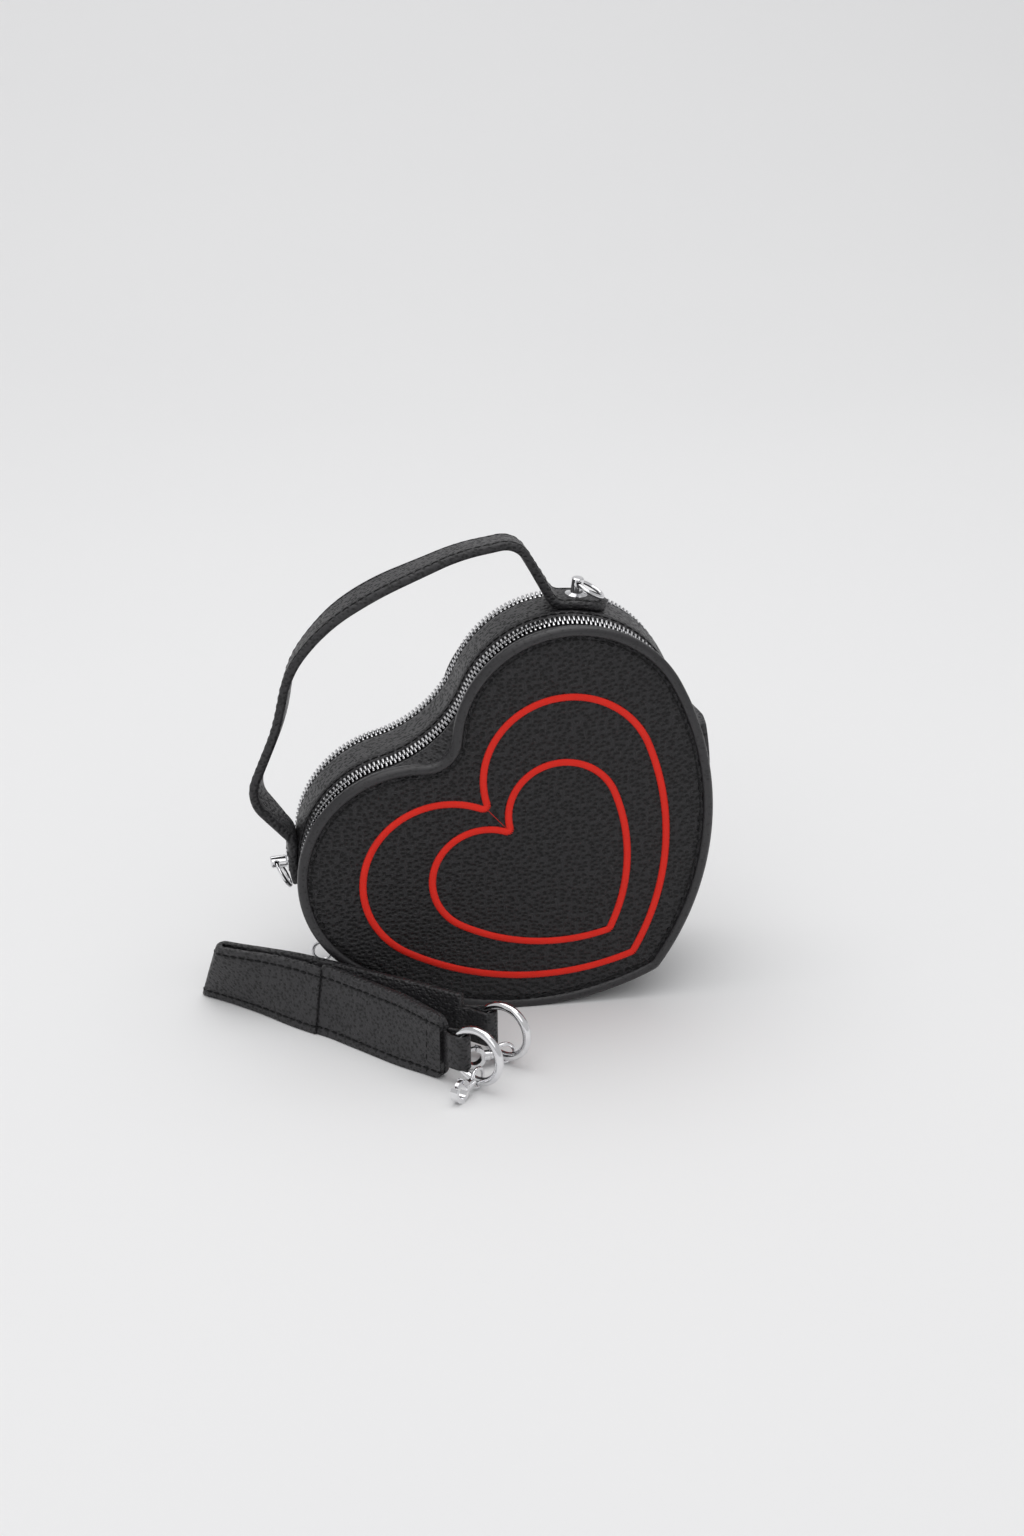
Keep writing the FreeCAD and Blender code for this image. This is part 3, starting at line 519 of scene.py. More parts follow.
BOARD_Y = FACE_Y - PANEL_T
LINING_Y = BOARD_Y - BOARD_T
for side, way in SIDES:
    rings = []
    for row in LOOP:
        ring = [place(*inset(row, depth), way * y) for depth, y in rim_profile()]
        rings.append([(x, y, max(z, 0.0)) for x, y, z in ring])
    piece_from(side + "_rolled_rim", *swept(rings, True), RIM_LEATHER, [side + "_rim"])
    edge = np.array([inset(row, RIM_WIDTH - PANEL_LAP) for row in LOOP])
    rings = [[place(u, v, way * BOARD_Y) for u, v in edge]]
    for share in PANEL_RINGS:
        ring = PANEL_CENTRE + (edge - PANEL_CENTRE) * share
        rings.append([place(u, v, way * y) for (u, v), y in zip(ring, panel_height(ring))])
    piece_from(side + "_leather_panel", *swept(rings), LEATHER, [side + "_panel"])
    edge = [inset(row, RIM_WIDTH) for row in LOOP]
    for layer, outer, thick in (("board", BOARD_Y, BOARD_T), ("lining", LINING_Y, LINING_T)):
        rings = [[place(u, v, way * y) for u, v in edge] for y in (outer, outer - thick)]
        piece_from(f"{side}_inner_{layer}", *swept(rings), LINING, [f"{side}_{layer}"], slot="lining")

# %% [markdown]
# ## Gusset strips and tapes
# Round the upper edge run two outer strips, two zips on their tapes, and a centre strip, all cut flat and
# sewn together. They are sections carried along the heart. The outer strips start at the rim's sharp
# notch and turn into the zip's smoother line, so their rings blend two walks of equal count. Hems are
# pressed flat beside the teeth, and the leather sinks into a shallow valley there.

# %% Gusset strips
STRIP_TWIST = 6.0
STRIP_LAP = 0.6
STRIP_ROUND = 0.8
TAPE_T = 0.8
TAPE_LAP = 4.0
TAPE_UNDER = 0.6
TOOTH_REACH = 2.75
TWIST_Y = RIM_BACK - STRIP_TWIST
HEM = 1.9
HEM_DROP = 1.0
VALLEY = 1.5
HEM_RUN = 5.5
rim_arcs, gusset_arcs = RIM.upper(GUSSET_END_DEG), GUSSET.upper(GUSSET_END_DEG)
UPPER_COUNTS = [max(a, b) for a, b in zip(arc_counts(rim_arcs, WALK), arc_counts(gusset_arcs, WALK))]
RIM_TOP = trace(rim_arcs, UPPER_COUNTS)
GUSSET_TOP = trace(gusset_arcs, UPPER_COUNTS)


def valley(y):
    """How far the leather between a zip and its rim sinks, most at the edge of the slot."""
    return VALLEY * float(np.interp(abs(y), (ZIP_Y, SLOT_OUTER, RIM_BACK - 2.0), (0.0, 1.0, 0.0)))


def pressed(y, up):
    """Height of a strip's point, lower near a zip, where the hem is folded and sewn flat."""
    from_slot = min(abs(abs(y) - SLOT_OUTER), abs(abs(y) - SLOT_INNER))
    return up - HEM_DROP * max(0.0, 1 - from_slot / HEM_RUN) ** 2 * up / GUSSET_T - valley(y)


def eased(share):
    share = min(1.0, max(0.0, share))
    return share * share * (3 - 2 * share)


def twisted_rings(outline, way):
    """Rings of an outer strip; its outline is rows of depth and height over the gusset's inner side."""
    rings = []
    for near, far in zip(RIM_TOP, GUSSET_TOP):
        ring = []
        for y, up in outline:
            share = eased((RIM_BACK - y) / STRIP_TWIST)
            ring.append(place(*inset(near * (1 - share) + far * share, GUSSET_IN - pressed(y, up)), way * y))
        rings.append(ring)
    return rings


for side, way in SIDES:
    outline = section(SLOT_OUTER, RIM_BACK + STRIP_LAP, 0.0, GUSSET_T, STRIP_ROUND, [SLOT_OUTER + HEM],
                      spread=14)
    piece_from(side + "_zip_side_strip", *swept(twisted_rings(outline, way)), TRIM_LEATHER,
               [side + "_gusset_strip"])
    for which, low, high in (("outer", ZIP_Y + TOOTH_REACH - TAPE_UNDER, TWIST_Y),
                             ("inner", SLOT_INNER - TAPE_LAP, ZIP_Y - TOOTH_REACH + TAPE_UNDER)):
        outline = section(low, high, -TAPE_T, 0.0, 0.3, steps=2, spread=6)
        rings = [[place(*inset(row, GUSSET_IN - up + valley(y)), way * y) for y, up in outline]
                 for row in GUSSET_TOP]
        piece_from(f"{side}_{which}_zip_tape", *swept(rings), TAPE,
                   [f"{side}_zip_{which}_tape"], slot="zip_tape")
outline = section(-SLOT_INNER, SLOT_INNER, 0.0, GUSSET_T, STRIP_ROUND, [SLOT_INNER - HEM, HEM - SLOT_INNER],
                  spread=14)
rings = [[place(*inset(row, GUSSET_IN - pressed(y, up)), y) for y, up in outline] for row in GUSSET_TOP]
piece_from("centre_leather_strip", *swept(rings), TRIM_LEATHER, ["centre_strip"])

# %% [markdown]
# ## Lower gusset
# One wide piece of leather goes round the tip, and its ends are folded under and lap the ends of both
# zips. A plain strip would look glued on, so the rings rise towards each end, most at the front, where
# the fold stands clear of the gusset, and its last rings thin to a rolled lip.

# %% Lower gusset with folded ends
FOLD_LENGTH = 45.0
FOLD_RISE = 5.5
FOLD_LAP = 4.0
FOLD_FADE = (-22.0, 8.0)
FOLD_LEAST = 0.12
LIP = 1.4
LOWER_LAP = 0.5


def lengths(rows):
    """How far along its line each row of points lies."""
    return np.concatenate([[0], np.cumsum(np.hypot(*np.diff(rows[:, :2], axis=0).T))])


def fold_share(y):
    """How much of the fold's rise a point has: all of it at the front, and little at the back."""
    return FOLD_LEAST + (1 - FOLD_LEAST) * float(np.interp(y, FOLD_FADE, (1.0, 0.0)))


fold_top = GUSSET_END_DEG + math.degrees(FOLD_LAP / (SIDE_R - RIM_PROUD))
lower_arcs = RIM.lower(fold_top)
LOWER = trace(lower_arcs, arc_counts(lower_arcs, 1.6))
run = lengths(LOWER)
rings = []
for row, along in zip(LOWER, run):
    from_end = min(along, run[-1] - along)
    lift = FOLD_RISE * max(0.0, 1 - from_end / (FOLD_LENGTH + FOLD_LAP)) ** 1.15
    lip = LIP * (1 - min(1.0, from_end / LIP)) ** 2
    outline = section(-RIM_BACK - LOWER_LAP, RIM_BACK + LOWER_LAP, 0.0, GUSSET_T - lip, STRIP_ROUND,
                      puff=0.25, spread=24)
    rings.append([place(*inset(row, GUSSET_IN - up - lift * fold_share(y) * up / GUSSET_T), y)
                  for y, up in outline])
piece_from("lower_leather_gusset", *swept(rings), TRIM_LEATHER, ["lower_gusset"])

# %% [markdown]
# ## Pieces along a line
# Zip teeth, stitches and satin threads all repeat along a line, so one Geometry Nodes tree makes them:
# the line becomes a curve, is cut into a count of points, and carries one small piece on each. The
# points' tangent and the outward normal, kept on the line as an attribute, turn the piece. The tree ends
# in Realize Instances, because the finished piece has to be a plain mesh.


# %% The tree for pieces along a line
def line_tree():
    tree = bpy.data.node_groups.new("pieces_along_a_line", "GeometryNodeTree")
    tree.is_modifier = True
    for name, kind in (("Line", "Geometry"), ("Piece", "Object"), ("Count", "Int"), ("Slant", "Float"),
                       ("Jitter", "Float"), ("Finish", "Material")):
        tree.interface.new_socket(name, in_out="INPUT", socket_type="NodeSocket" + kind)
    tree.interface.new_socket("Pieces", in_out="OUTPUT", socket_type="NodeSocketGeometry")

    def node(kind, **settings):
        made = tree.nodes.new(kind)
        for name, value in settings.items():
            setattr(made, name, value)
        return made

    given, result = node("NodeGroupInput"), node("NodeGroupOutput")
    curve = node("GeometryNodeMeshToCurve")
    cut = node("GeometryNodeResampleCurve", mode="COUNT")
    tangent = node("GeometryNodeInputTangent")
    outward = node("GeometryNodeInputNamedAttribute", data_type="FLOAT_VECTOR")
    outward.inputs["Name"].default_value = "outward"
    along = node("FunctionNodeAlignRotationToVector", axis="X", pivot_axis="AUTO")
    upward = node("FunctionNodeAlignRotationToVector", axis="Z", pivot_axis="X")
    wobble = node("FunctionNodeRandomValue", data_type="FLOAT")
    wobble.inputs["Seed"].default_value = 7
    minus = node("ShaderNodeMath", operation="MULTIPLY")
    minus.inputs[1].default_value = -1.0
    lean = node("ShaderNodeMath", operation="ADD")
    spin = node("ShaderNodeCombineXYZ")
    turn = node("FunctionNodeRotateRotation", rotation_space="LOCAL")
    shape = node("GeometryNodeObjectInfo", transform_space="ORIGINAL")
    copies = node("GeometryNodeInstanceOnPoints")
    real = node("GeometryNodeRealizeInstances")
    colour = node("GeometryNodeSetMaterial")
    floats = [s for s in wobble.inputs if s.type == "VALUE" and s.name in ("Min", "Max")]
    tree.links.new(minus.outputs[0], floats[0])
    tree.links.new(given.outputs["Jitter"], floats[1])
    drawn = [s for s in wobble.outputs if s.type == "VALUE"][0]
    tree.links.new(drawn, lean.inputs[0])
    for source, out, target, into in (
            (given, "Line", curve, 0), (curve, 0, cut, "Curve"), (given, "Count", cut, "Count"),
            (tangent, 0, along, "Vector"), (along, 0, upward, "Rotation"), (outward, 0, upward, "Vector"),
            (given, "Jitter", minus, 0), (given, "Slant", lean, 1), (lean, 0, spin, "Z"),
            (upward, 0, turn, "Rotation"), (spin, 0, turn, "Rotate By"), (given, "Piece", shape, "Object"),
            (cut, 0, copies, "Points"), (shape, "Geometry", copies, "Instance"),
            (turn, 0, copies, "Rotation"), (copies, 0, real, 0), (real, 0, colour, "Geometry"),
            (given, "Finish", colour, "Material"), (colour, 0, result, 0)):
        tree.links.new(source.outputs[out], target.inputs[into])
    return tree


LINE_TREE = line_tree()
SOCKET_ID = {s.name: s.identifier for s in LINE_TREE.interface.items_tree if s.in_out == "INPUT"}


def line_mesh(name, points, normals, closed):
    mesh = bpy.data.meshes.new(name)
    count = len(points)
    edges = [(k, (k + 1) % count) for k in range(count if closed else count - 1)]
    mesh.from_pydata([tuple(p) for p in points], edges, [])
    layer = mesh.attributes.new("outward", "FLOAT_VECTOR", "POINT")
    layer.data.foreach_set("vector", np.asarray(normals, np.float32).ravel())
    return mesh


def along_lines(name, lines, small, finish, node_names=(), body="bag", slant=0.0,
                jitter=0.0):
    """One plain mesh of small pieces along several lines, each points, normals, closed and a count."""
    whole = bmesh.new()
    for points, normals, closed, count in lines:
        carrier = linked(name + "_line", line_mesh(name + "_line", points, normals, closed))
        worker = carrier.modifiers.new("pieces", "NODES")
        worker.node_group = LINE_TREE
        for key, value in (("Piece", small), ("Count", count), ("Slant", slant), ("Jitter", jitter),
                           ("Finish", finish)):
            worker[SOCKET_ID[key]] = value
        bpy.context.view_layer.update()
        seen = carrier.evaluated_get(bpy.context.evaluated_depsgraph_get())
        mesh = bpy.data.meshes.new_from_object(seen)
        carrier.modifiers.remove(worker)
        whole.from_mesh(mesh)
        bpy.data.objects.remove(carrier)
        bpy.data.meshes.remove(mesh)
    made = bpy.data.meshes.new(name)
    whole.to_mesh(made)
    whole.free()
    if "outward" in made.attributes:
        made.attributes.remove(made.attributes["outward"])
    return finished(name, made, finish, node_names, body)


def bar_piece(name, axis, length, radius, rise, sides=6, steps=5):
    """A thread that bows up in its middle and dives at its ends, along the X or the Y axis."""
    rings = []
    for k in range(steps + 1):
        t = 2 * k / steps - 1
        r = radius * (0.45 + 0.55 * math.sqrt(max(0.0, 1 - abs(t) ** 3)))
        ring = []
        for j in range(sides):
            a = math.tau * j / sides
            across, up = r * math.cos(a), rise * (1 - t * t) + r * math.sin(a) * 0.8
            spot = (t * length / 2, across, up) if axis == "X" else (across, t * length / 2, up)
            ring.append(tuple(c * MM for c in spot))
        rings.append(ring)
    return linked(name, solid_mesh(name, *swept(rings)))


print("tree inputs", SOCKET_ID)

# %% [markdown]
# ## Zip teeth
# A metal zip has two rows of small cast teeth that interlock. A striped material would lie flat, so each
# tooth is a real waisted block of a few dozen faces with a narrow top, and the tree sets one row of them
# at the zip's pitch. The points on a tooth's crown carry a mark, and the finish keeps them bright and paints
# shade on the rest of the tooth. Both rows tip forwards, as the photograph shows them, the front zip's more.

# %% Zip teeth
TOOTH_PITCH = 2.06
TOOTH_H = 2.6
TOOTH_CROWN = 1.25
TOOTH_PLAN = ((0.5, -2.9), (0.6, -2.2), (0.44, -1.0), (0.48, -0.2), (0.36, 0.6))
TOOTH_LEVELS = ((-TOOTH_H / 2, 0.8), (0.75, 1.0), (TOOTH_H / 2 - 0.12, 0.86), (TOOTH_H / 2, 0.55))
TOOTH_MIDDLE = -1.1
STOP_LENGTH, STOP_GAP = 2.4, 1.0
CHAIN_INSET = GUSSET_IN + TAPE_T / 2
CHAIN_START = FOLD_LAP + STOP_LENGTH + STOP_GAP
ZIP_TIP = {"front": math.radians(17), "back": math.radians(8)}


def tooth_piece(side):
    """Levels of a tooth's outline, from its foot under the tape to its narrow top."""
    rings = []
    for up, grow in TOOTH_LEVELS:
        squeeze = 1 - (1 - grow) * 0.3
        ring = [(x * grow, side * (TOOTH_MIDDLE + (y - TOOTH_MIDDLE) * squeeze), up) for x, y in TOOTH_PLAN]
        ring += [(-x, y, z) for x, y, z in reversed(ring)]
        rings.append([tuple(c * MM for c in p) for p in ring])
    piece = linked("tooth", solid_mesh("tooth", *swept(rings)))
    # The finish reads this mark and paints shade on every point below the crown.
    crown = piece.data.attributes.new("crown", "FLOAT", "POINT")
    crown.data.foreach_set("value", [float(v.co.z > TOOTH_CROWN * MM) for v in piece.data.vertices])
    return piece


chain_rows = trace(gusset_arcs, arc_counts(gusset_arcs, 0.6))
chain_line = np.array([inset(row, CHAIN_INSET) for row in chain_rows])
chain_turn = chain_rows[:, 2:]
chain_run = lengths(chain_line)
TOOTH_COUNT = int((chain_run[-1] - CHAIN_START * 2) / TOOTH_PITCH)


def direction(nu, nv):
    return (COS * nu - SIN * nv, 0.0, SIN * nu + COS * nv)


def cut_line(start, end, y, tip_angle):
    """Points of a zip's middle, and normals that tip forwards."""
    stops = np.arange(start, end, 0.7).tolist() + [end]
    u, v, nu, nv = (np.interp(stops, chain_run, c) for c in (*chain_line.T, *chain_turn.T))
    tip = Vector((0, -math.tan(tip_angle), 0))
    normals = [(Vector(direction(a, b)) + tip).normalized() for a, b in zip(nu, nv)]
    return [place(a, b, y) for a, b in zip(u, v)], normals


for side, way in SIDES:
    for row_name, lean_side, offset in (("outer", -way, 0.0), ("inner", way, TOOTH_PITCH / 2)):
        first = CHAIN_START + TOOTH_PITCH / 2 + offset
        line = cut_line(first, first + (TOOTH_COUNT - 1) * TOOTH_PITCH, way * ZIP_Y, ZIP_TIP[side])
        tooth = tooth_piece(lean_side)
        along_lines(f"{side}_{row_name}_tooth_row", [(*line, False, TOOTH_COUNT)], tooth, ZIP_METAL,
                    [f"{side}_zip_{row_name}_teeth"])
        bpy.data.objects.remove(tooth)

# %% [markdown]
# ## Satin stitched hearts
# Satin stitch is hundreds of threads laid side by side across a line. A red band could be painted, but
# then it has no edge and no sheen. Each thread here bows over the leather and dives into it at both ends,
# a little wider than the pitch, so that the row closes. One loose thread runs from notch to notch.

# %% Satin stitch
THREAD_SHIFT_U = -2.5
THREAD_PITCH = 0.44
THREAD_WIDTH, THREAD_R, THREAD_BOW = 3.3, 0.33, 0.42
NOTCH_GAP = 1.5
JUMP_SIDE, JUMP_UP, JUMP_SINK = 0.00016, 0.00012, 0.0001
OUTER_HEART = Heart((36.0, -20.5), 38.0, SIDE_R * 0.8955, -20.0, 1.7, 0.9)
INNER_HEART = Heart((22.8, -31.8), 24.5, SIDE_R * 0.634, -20.0, 1.2, 0.9)
FRONT = (0.0, -1.0, 0.0)


def on_panel(points, way=-1, over=0.0):
    return [place(u, v, way * (y + over)) for (u, v), y in zip(points, panel_height(points))]


satin = bar_piece("satin", "Y", THREAD_WIDTH, THREAD_R, THREAD_BOW, 6, 6)
for which, heart in (("outer", OUTER_HEART), ("inner", INNER_HEART)):
    rows = trace(heart.loop(), arc_counts(heart.loop(), 0.5), True)
    points = rows[:, :2] + (THREAD_SHIFT_U, 0)
    count = int(lengths(np.vstack([points, points[:1]]))[-1] / THREAD_PITCH)
    along_lines(which + "_satin_heart", [(on_panel(points), [FRONT] * len(points), True, count)], satin,
                RED_THREAD, [which + "_heart_embroidery"], slant=0.12, jitter=0.03)
bpy.data.objects.remove(satin)
ends = [(THREAD_SHIFT_U, heart.notch[1] - heart.notch_r + shift)
        for heart, shift in ((OUTER_HEART, -NOTCH_GAP), (INNER_HEART, NOTCH_GAP))]
jump = np.linspace(ends[0], ends[1], 12)
rings = [[(x + JUMP_SIDE * math.cos(a), y + JUMP_UP * math.sin(a) - JUMP_SINK, z)
          for a in np.linspace(0, math.tau, 6, endpoint=False)] for x, y, z in on_panel(jump)]
piece_from("thread_between_hearts", *swept(rings), RED_THREAD, (), slot="red_thread")

# %% [markdown]
# ## Walking along straps
# The handle, the carry strap and its end loops are leather straps that follow straight runs joined by
# bends. A curve with handles could draw them, but its bends have no set radius, so `rounded_line` walks
# runs and tangent arcs, as the solids in the frame do, and gives points with the direction of travel.


# %% Walking straps
def rounded_line(points, step):
    """Rows of a, b, ta, tb along runs joined by arcs. A point is a, b and the radius of its bend."""
    rows, last = [], np.array(points[0][:2])

    def straight(a, b):
        length = np.hypot(*(b - a))
        if length > 1e-6:
            t, count = (b - a) / length, max(1, int(length / step))
            rows.extend((*(a + t * length * k / count), *t) for k in range(count + 1))

    for before, here, after in zip(points, points[1:], points[2:]):
        before, middle, after = (np.array(p[:2]) for p in (before, here, after))
        run_in, run_out = middle - before, after - middle
        run_in, run_out = run_in / np.hypot(*run_in), run_out / np.hypot(*run_out)
        cross = run_in[0] * run_out[1] - run_in[1] * run_out[0]
        turn, bend = math.atan2(abs(cross), run_in @ run_out), 1 if cross > 0 else -1
        setback = here[2] * math.tan(turn / 2)
        start = middle - run_in * setback
        straight(last, start)
        centre = start + bend * here[2] * np.array((-run_in[1], run_in[0]))
        first = math.atan2(*(start - centre)[::-1])
        count = max(4, int(here[2] * turn / step))
        for k in range(1, count + 1):
            a = first + bend * turn * k / count
            rows.append((centre[0] + here[2] * math.cos(a), centre[1] + here[2] * math.sin(a),
                         -bend * math.sin(a), bend * math.cos(a)))
        last = middle + run_out * setback
    straight(last, np.array(points[-1][:2]))
    rows = np.array(rows)
    keep = np.concatenate([[True], np.hypot(*np.diff(rows[:, :2], axis=0).T) > 1e-4])
    return rows[keep]


def rows_at(stops, run, rows):
    """The rows of a line at other distances along it."""
    return np.array([np.interp(stops, run, column) for column in rows.T]).T


print("a square corner of radius 3 has", len(rounded_line([(0, 0), (9, 0, 3), (9, 9)], 1.0)), "rows")

# %% [markdown]
# ## Handle
# The handle is one stiff leather strap whose rounded tabs lie on the lobes under the posts. It stands up
# from its bends and arches over the notch. A plain arch would look cast, and worn leather is never that
# even: here the points are read from the photograph, and the far edge hangs in a little between the tabs,
# by a smoothed table of how far along the strap and how far in.

# %% Handle
HANDLE_WIDTH = 19.0
HANDLE_T = 4.0
HANDLE_ROUND = 1.5
TAB_END_DEG = 25.0
RIGHT_LEAVE_DEG, LEFT_LEAVE_DEG = 47.0, 44.0
TAB_ROUND = HANDLE_WIDTH * 0.46
BEND_RUN = 6.0
BEND_R = 7.0
TAB_R = LOBE_R - RIM_PROUD + HANDLE_T / 2
TAB_RINGS = np.array((0.05, 0.2, 0.5, 0.9, 1.4))
HANDLE_SEAM = 2.3
SEAM_HALF_LEAST = 5.0
STRAP_STEP = 1.6


def tab_points(leave):
    half = (leave - TAB_END_DEG) / 2
    corner = polar(LOBE, TAB_R / math.cos(math.radians(half)), TAB_END_DEG + half)
    bend = polar(polar(LOBE, TAB_R, leave), BEND_RUN, leave + 90)
    return [polar(LOBE, TAB_R, TAB_END_DEG), (*corner, TAB_R), (*bend, BEND_R)]


left_tab = [(-p[0], *p[1:]) for p in tab_points(LEFT_LEAVE_DEG)]
arch = [(86.3, 66.5, 11.0), (63.5, 80.2, 85.0), (26.0, 92.0, 190.0), (-1.0, 97.2, 80.0),
        (-27.2, 93.0, 46.0), (-49.7, 76.4, 100.0), (-81.3, 60.8, 15.0)]
HANDLE = rounded_line(tab_points(RIGHT_LEAVE_DEG) + arch + left_tab[::-1], STRAP_STEP)
handle_run = lengths(HANDLE)
SWAY_RUN = (30.0, 60.0, 90.0, 121.0, 139.0, 152.0, 172.0, 190.0, 241.0, 268.0)
SWAY_IN = (0.0, 2.4, 1.6, -0.5, -0.2, 1.4, 2.8, 4.2, 4.0, 0.0)
SWAY_SMOOTH = 9.0
sway = np.interp(handle_run, SWAY_RUN, SWAY_IN)
sway = np.array([np.mean(sway[np.abs(handle_run - along) < SWAY_SMOOTH]) for along in handle_run])
print("handle", round(float(handle_run[-1]), 1), "mm long")


def tab_width(from_end):
    if from_end >= TAB_ROUND:
        return HANDLE_WIDTH / 2
    return HANDLE_WIDTH / 2 - TAB_ROUND + math.sqrt(max(0.0, TAB_ROUND ** 2 - (TAB_ROUND - from_end) ** 2))


def on_handle(row, along, y, up):
    """A point of the handle, whose far edge hangs in a little between its tabs."""
    u, v, tu, tv = row
    up = up - float(np.interp(along, handle_run, sway)) * (y / HANDLE_WIDTH + 0.5)
    return place(u + tv * up, v - tu * up, y)


rings = []
stops = np.unique(np.concatenate([handle_run[1:-1], TAB_RINGS, handle_run[-1] - TAB_RINGS]))
for row, along in zip(rows_at(stops, handle_run, HANDLE), stops):
    half = tab_width(min(along, handle_run[-1] - along))
    # A ring too narrow for the furrows gets their ten points as plain ones, so that all rings are equal.
    furrows, spread = ((half - HANDLE_SEAM, HANDLE_SEAM - half), 10) if half > SEAM_HALF_LEAST else ((), 20)
    outline = section(-half, half, -HANDLE_T / 2, HANDLE_T / 2, min(HANDLE_ROUND, half * 0.6), furrows,
                      0.25, 5, spread)
    rings.append([on_handle(row, along, y, up) for y, up in outline])
piece_from("leather_handle", *swept(rings), TRIM_LEATHER, ["handle"])

# %% [markdown]
# ## Carry strap
# The loose strap lies on the table, folded in half and standing on its long edge, with a second layer, a
# facing, sewn on its near half. A cloth simulation could settle it, but it would not stop at this pose,
# so the line is walked and each ring leans: back in the middle, forward and slanted at the fold. Where
# the facing ends, the strap steps out over it and comes back within a few centimetres.

# %% Carry strap
STRAP_SHIFT = (ORIGIN.x / MM, ORIGIN.y / MM)
STRAP_WIDTH = 30.0
STRAP_T = 3.2
STRAP_BEND_R = 60.0
FOLD_GAP = 5.6
FOLD_ROUND = FOLD_GAP * 0.46
NEAR_RUN = [(-24.9, -98.3), (-43.0, -76.5), (-69.6, -45.9), (-97.0, -25.5), (-121.6, -7.0)]
FAR_RUN = [(-94.2, -21.7), (-63.5, -44.2), (-40.8, -61.8), (-15.5, -78.0)]
STRAP_LEAN = (0.2, -0.2)
LEAN_WAY = np.array((0.64, 0.77))
LEAN_REACH = 52.0
UPRIGHT_END = 30.0
FOLD_SLANT = 0.46
FOLD_REACH = 36.0
FACING_T = 2.5
FACING_SINK = 0.4
FACING_OVER = 1.3
FACING_END_SPOT = (-73.0, -43.4)
FACING_STEP = 3.3
STEP_RUN, STEP_EDGE = 34.0, 0.25
STRAP_ROUND, FACING_ROUND, STRAP_PUFF = 1.1, 1.0, 0.12
STRAP_SEAM = 3.6
STRAP_CORNER = 5.0
CORNER_STOPS = (0, 0.3, 0.8, 1.5, 2.4, 3.6, 5.0)
CORNER_DONE = 6.0
fold_in = np.array(NEAR_RUN[-1]) - np.array(NEAR_RUN[-2])
fold_in = fold_in / np.hypot(*fold_in)
fold_far = (NEAR_RUN[-1][0] + fold_in[1] * FOLD_GAP, NEAR_RUN[-1][1] - fold_in[0] * FOLD_GAP)
strap_points = [(*p, STRAP_BEND_R) for p in NEAR_RUN[:-1]] + [(*NEAR_RUN[-1], FOLD_ROUND),
                                                             (*fold_far, FOLD_ROUND)]
strap_points += [(*p, STRAP_BEND_R) for p in FAR_RUN]
STRAP = rounded_line(strap_points, STRAP_STEP)
strap_run = lengths(STRAP)
FOLD_AT = float(strap_run[np.argmin(STRAP[:, 0])])
FACING_END = float(strap_run[np.argmin(np.hypot(*(STRAP[:, :2] - FACING_END_SPOT).T))])


def on_strap(row, along, across, up):
    """A point of the strap: across to the left of its travel and up from its lower edge."""
    x, y, tx, ty = row
    if along > FACING_END:
        across = across + FACING_STEP * max(0.0, 1 - (along - FACING_END) / STEP_RUN) ** 1.4
    spot = np.array((x - ty * across, y + tx * across))
    free = eased(min(along, strap_run[-1] - along) / UPRIGHT_END)
    fold = eased(1 - abs(along - FOLD_AT) / LEAN_REACH)
    lean = STRAP_LEAN[0] + (STRAP_LEAN[1] - STRAP_LEAN[0]) * fold
    spot = spot + LEAN_WAY * lean * free * (up - STRAP_WIDTH / 2)
    near_fold = max(0.0, 1 - abs(along - FOLD_AT) / FOLD_REACH) ** 1.5
    spot = spot - fold_in * FOLD_SLANT * near_fold * (up - STRAP_WIDTH / 2)
    return ((spot[0] + STRAP_SHIFT[0]) * MM, (spot[1] + STRAP_SHIFT[1]) * MM, up * MM)


def strap_rings(rows, run, low_side, high_side, round_r, over=0.0):
    """Rings of a strap's layer between two sides, with the near end's corners cut round."""
    rings = []
    for row, along in zip(rows, run):
        cut = STRAP_CORNER - math.sqrt(STRAP_CORNER ** 2 - max(0.0, STRAP_CORNER - along) ** 2)
        outline = section(cut, STRAP_WIDTH + over - cut, low_side, high_side, round_r, seams, STRAP_PUFF,
                          spread=12)
        rings.append([on_strap(row, along, side, up) for up, side in outline])
    return rings


seams = [STRAP_SEAM, STRAP_WIDTH - STRAP_SEAM]
stops = [CORNER_STOPS, [FACING_END + STEP_EDGE], strap_run[strap_run > CORNER_DONE]]
stops = np.sort(np.concatenate(stops))
STRAP, strap_run = rows_at(stops, strap_run, STRAP), stops
rings = strap_rings(STRAP, strap_run, -STRAP_T / 2, STRAP_T / 2, STRAP_ROUND)
piece_from("folded_strap", *swept(rings), TRIM_LEATHER, ["strap_body"], "strap")
facing_rows = strap_run <= FACING_END
rings = strap_rings(STRAP[facing_rows], strap_run[facing_rows], STRAP_T / 2 - FACING_SINK,
                    STRAP_T / 2 + FACING_T, FACING_ROUND, FACING_OVER)
piece_from("near_strap_facing", *swept(rings), TRIM_LEATHER, ["strap_facing"], "strap")

# %% [markdown]
# ## Strap ends
# At each end of the strap a narrower leather tab goes round a metal ring and back into the strap. A ribbon
# bent by a modifier could cut into the ring's wire, so the tab is a thin strap walked along a drop shaped
# line that keeps clear of it, standing at the height of the ring.

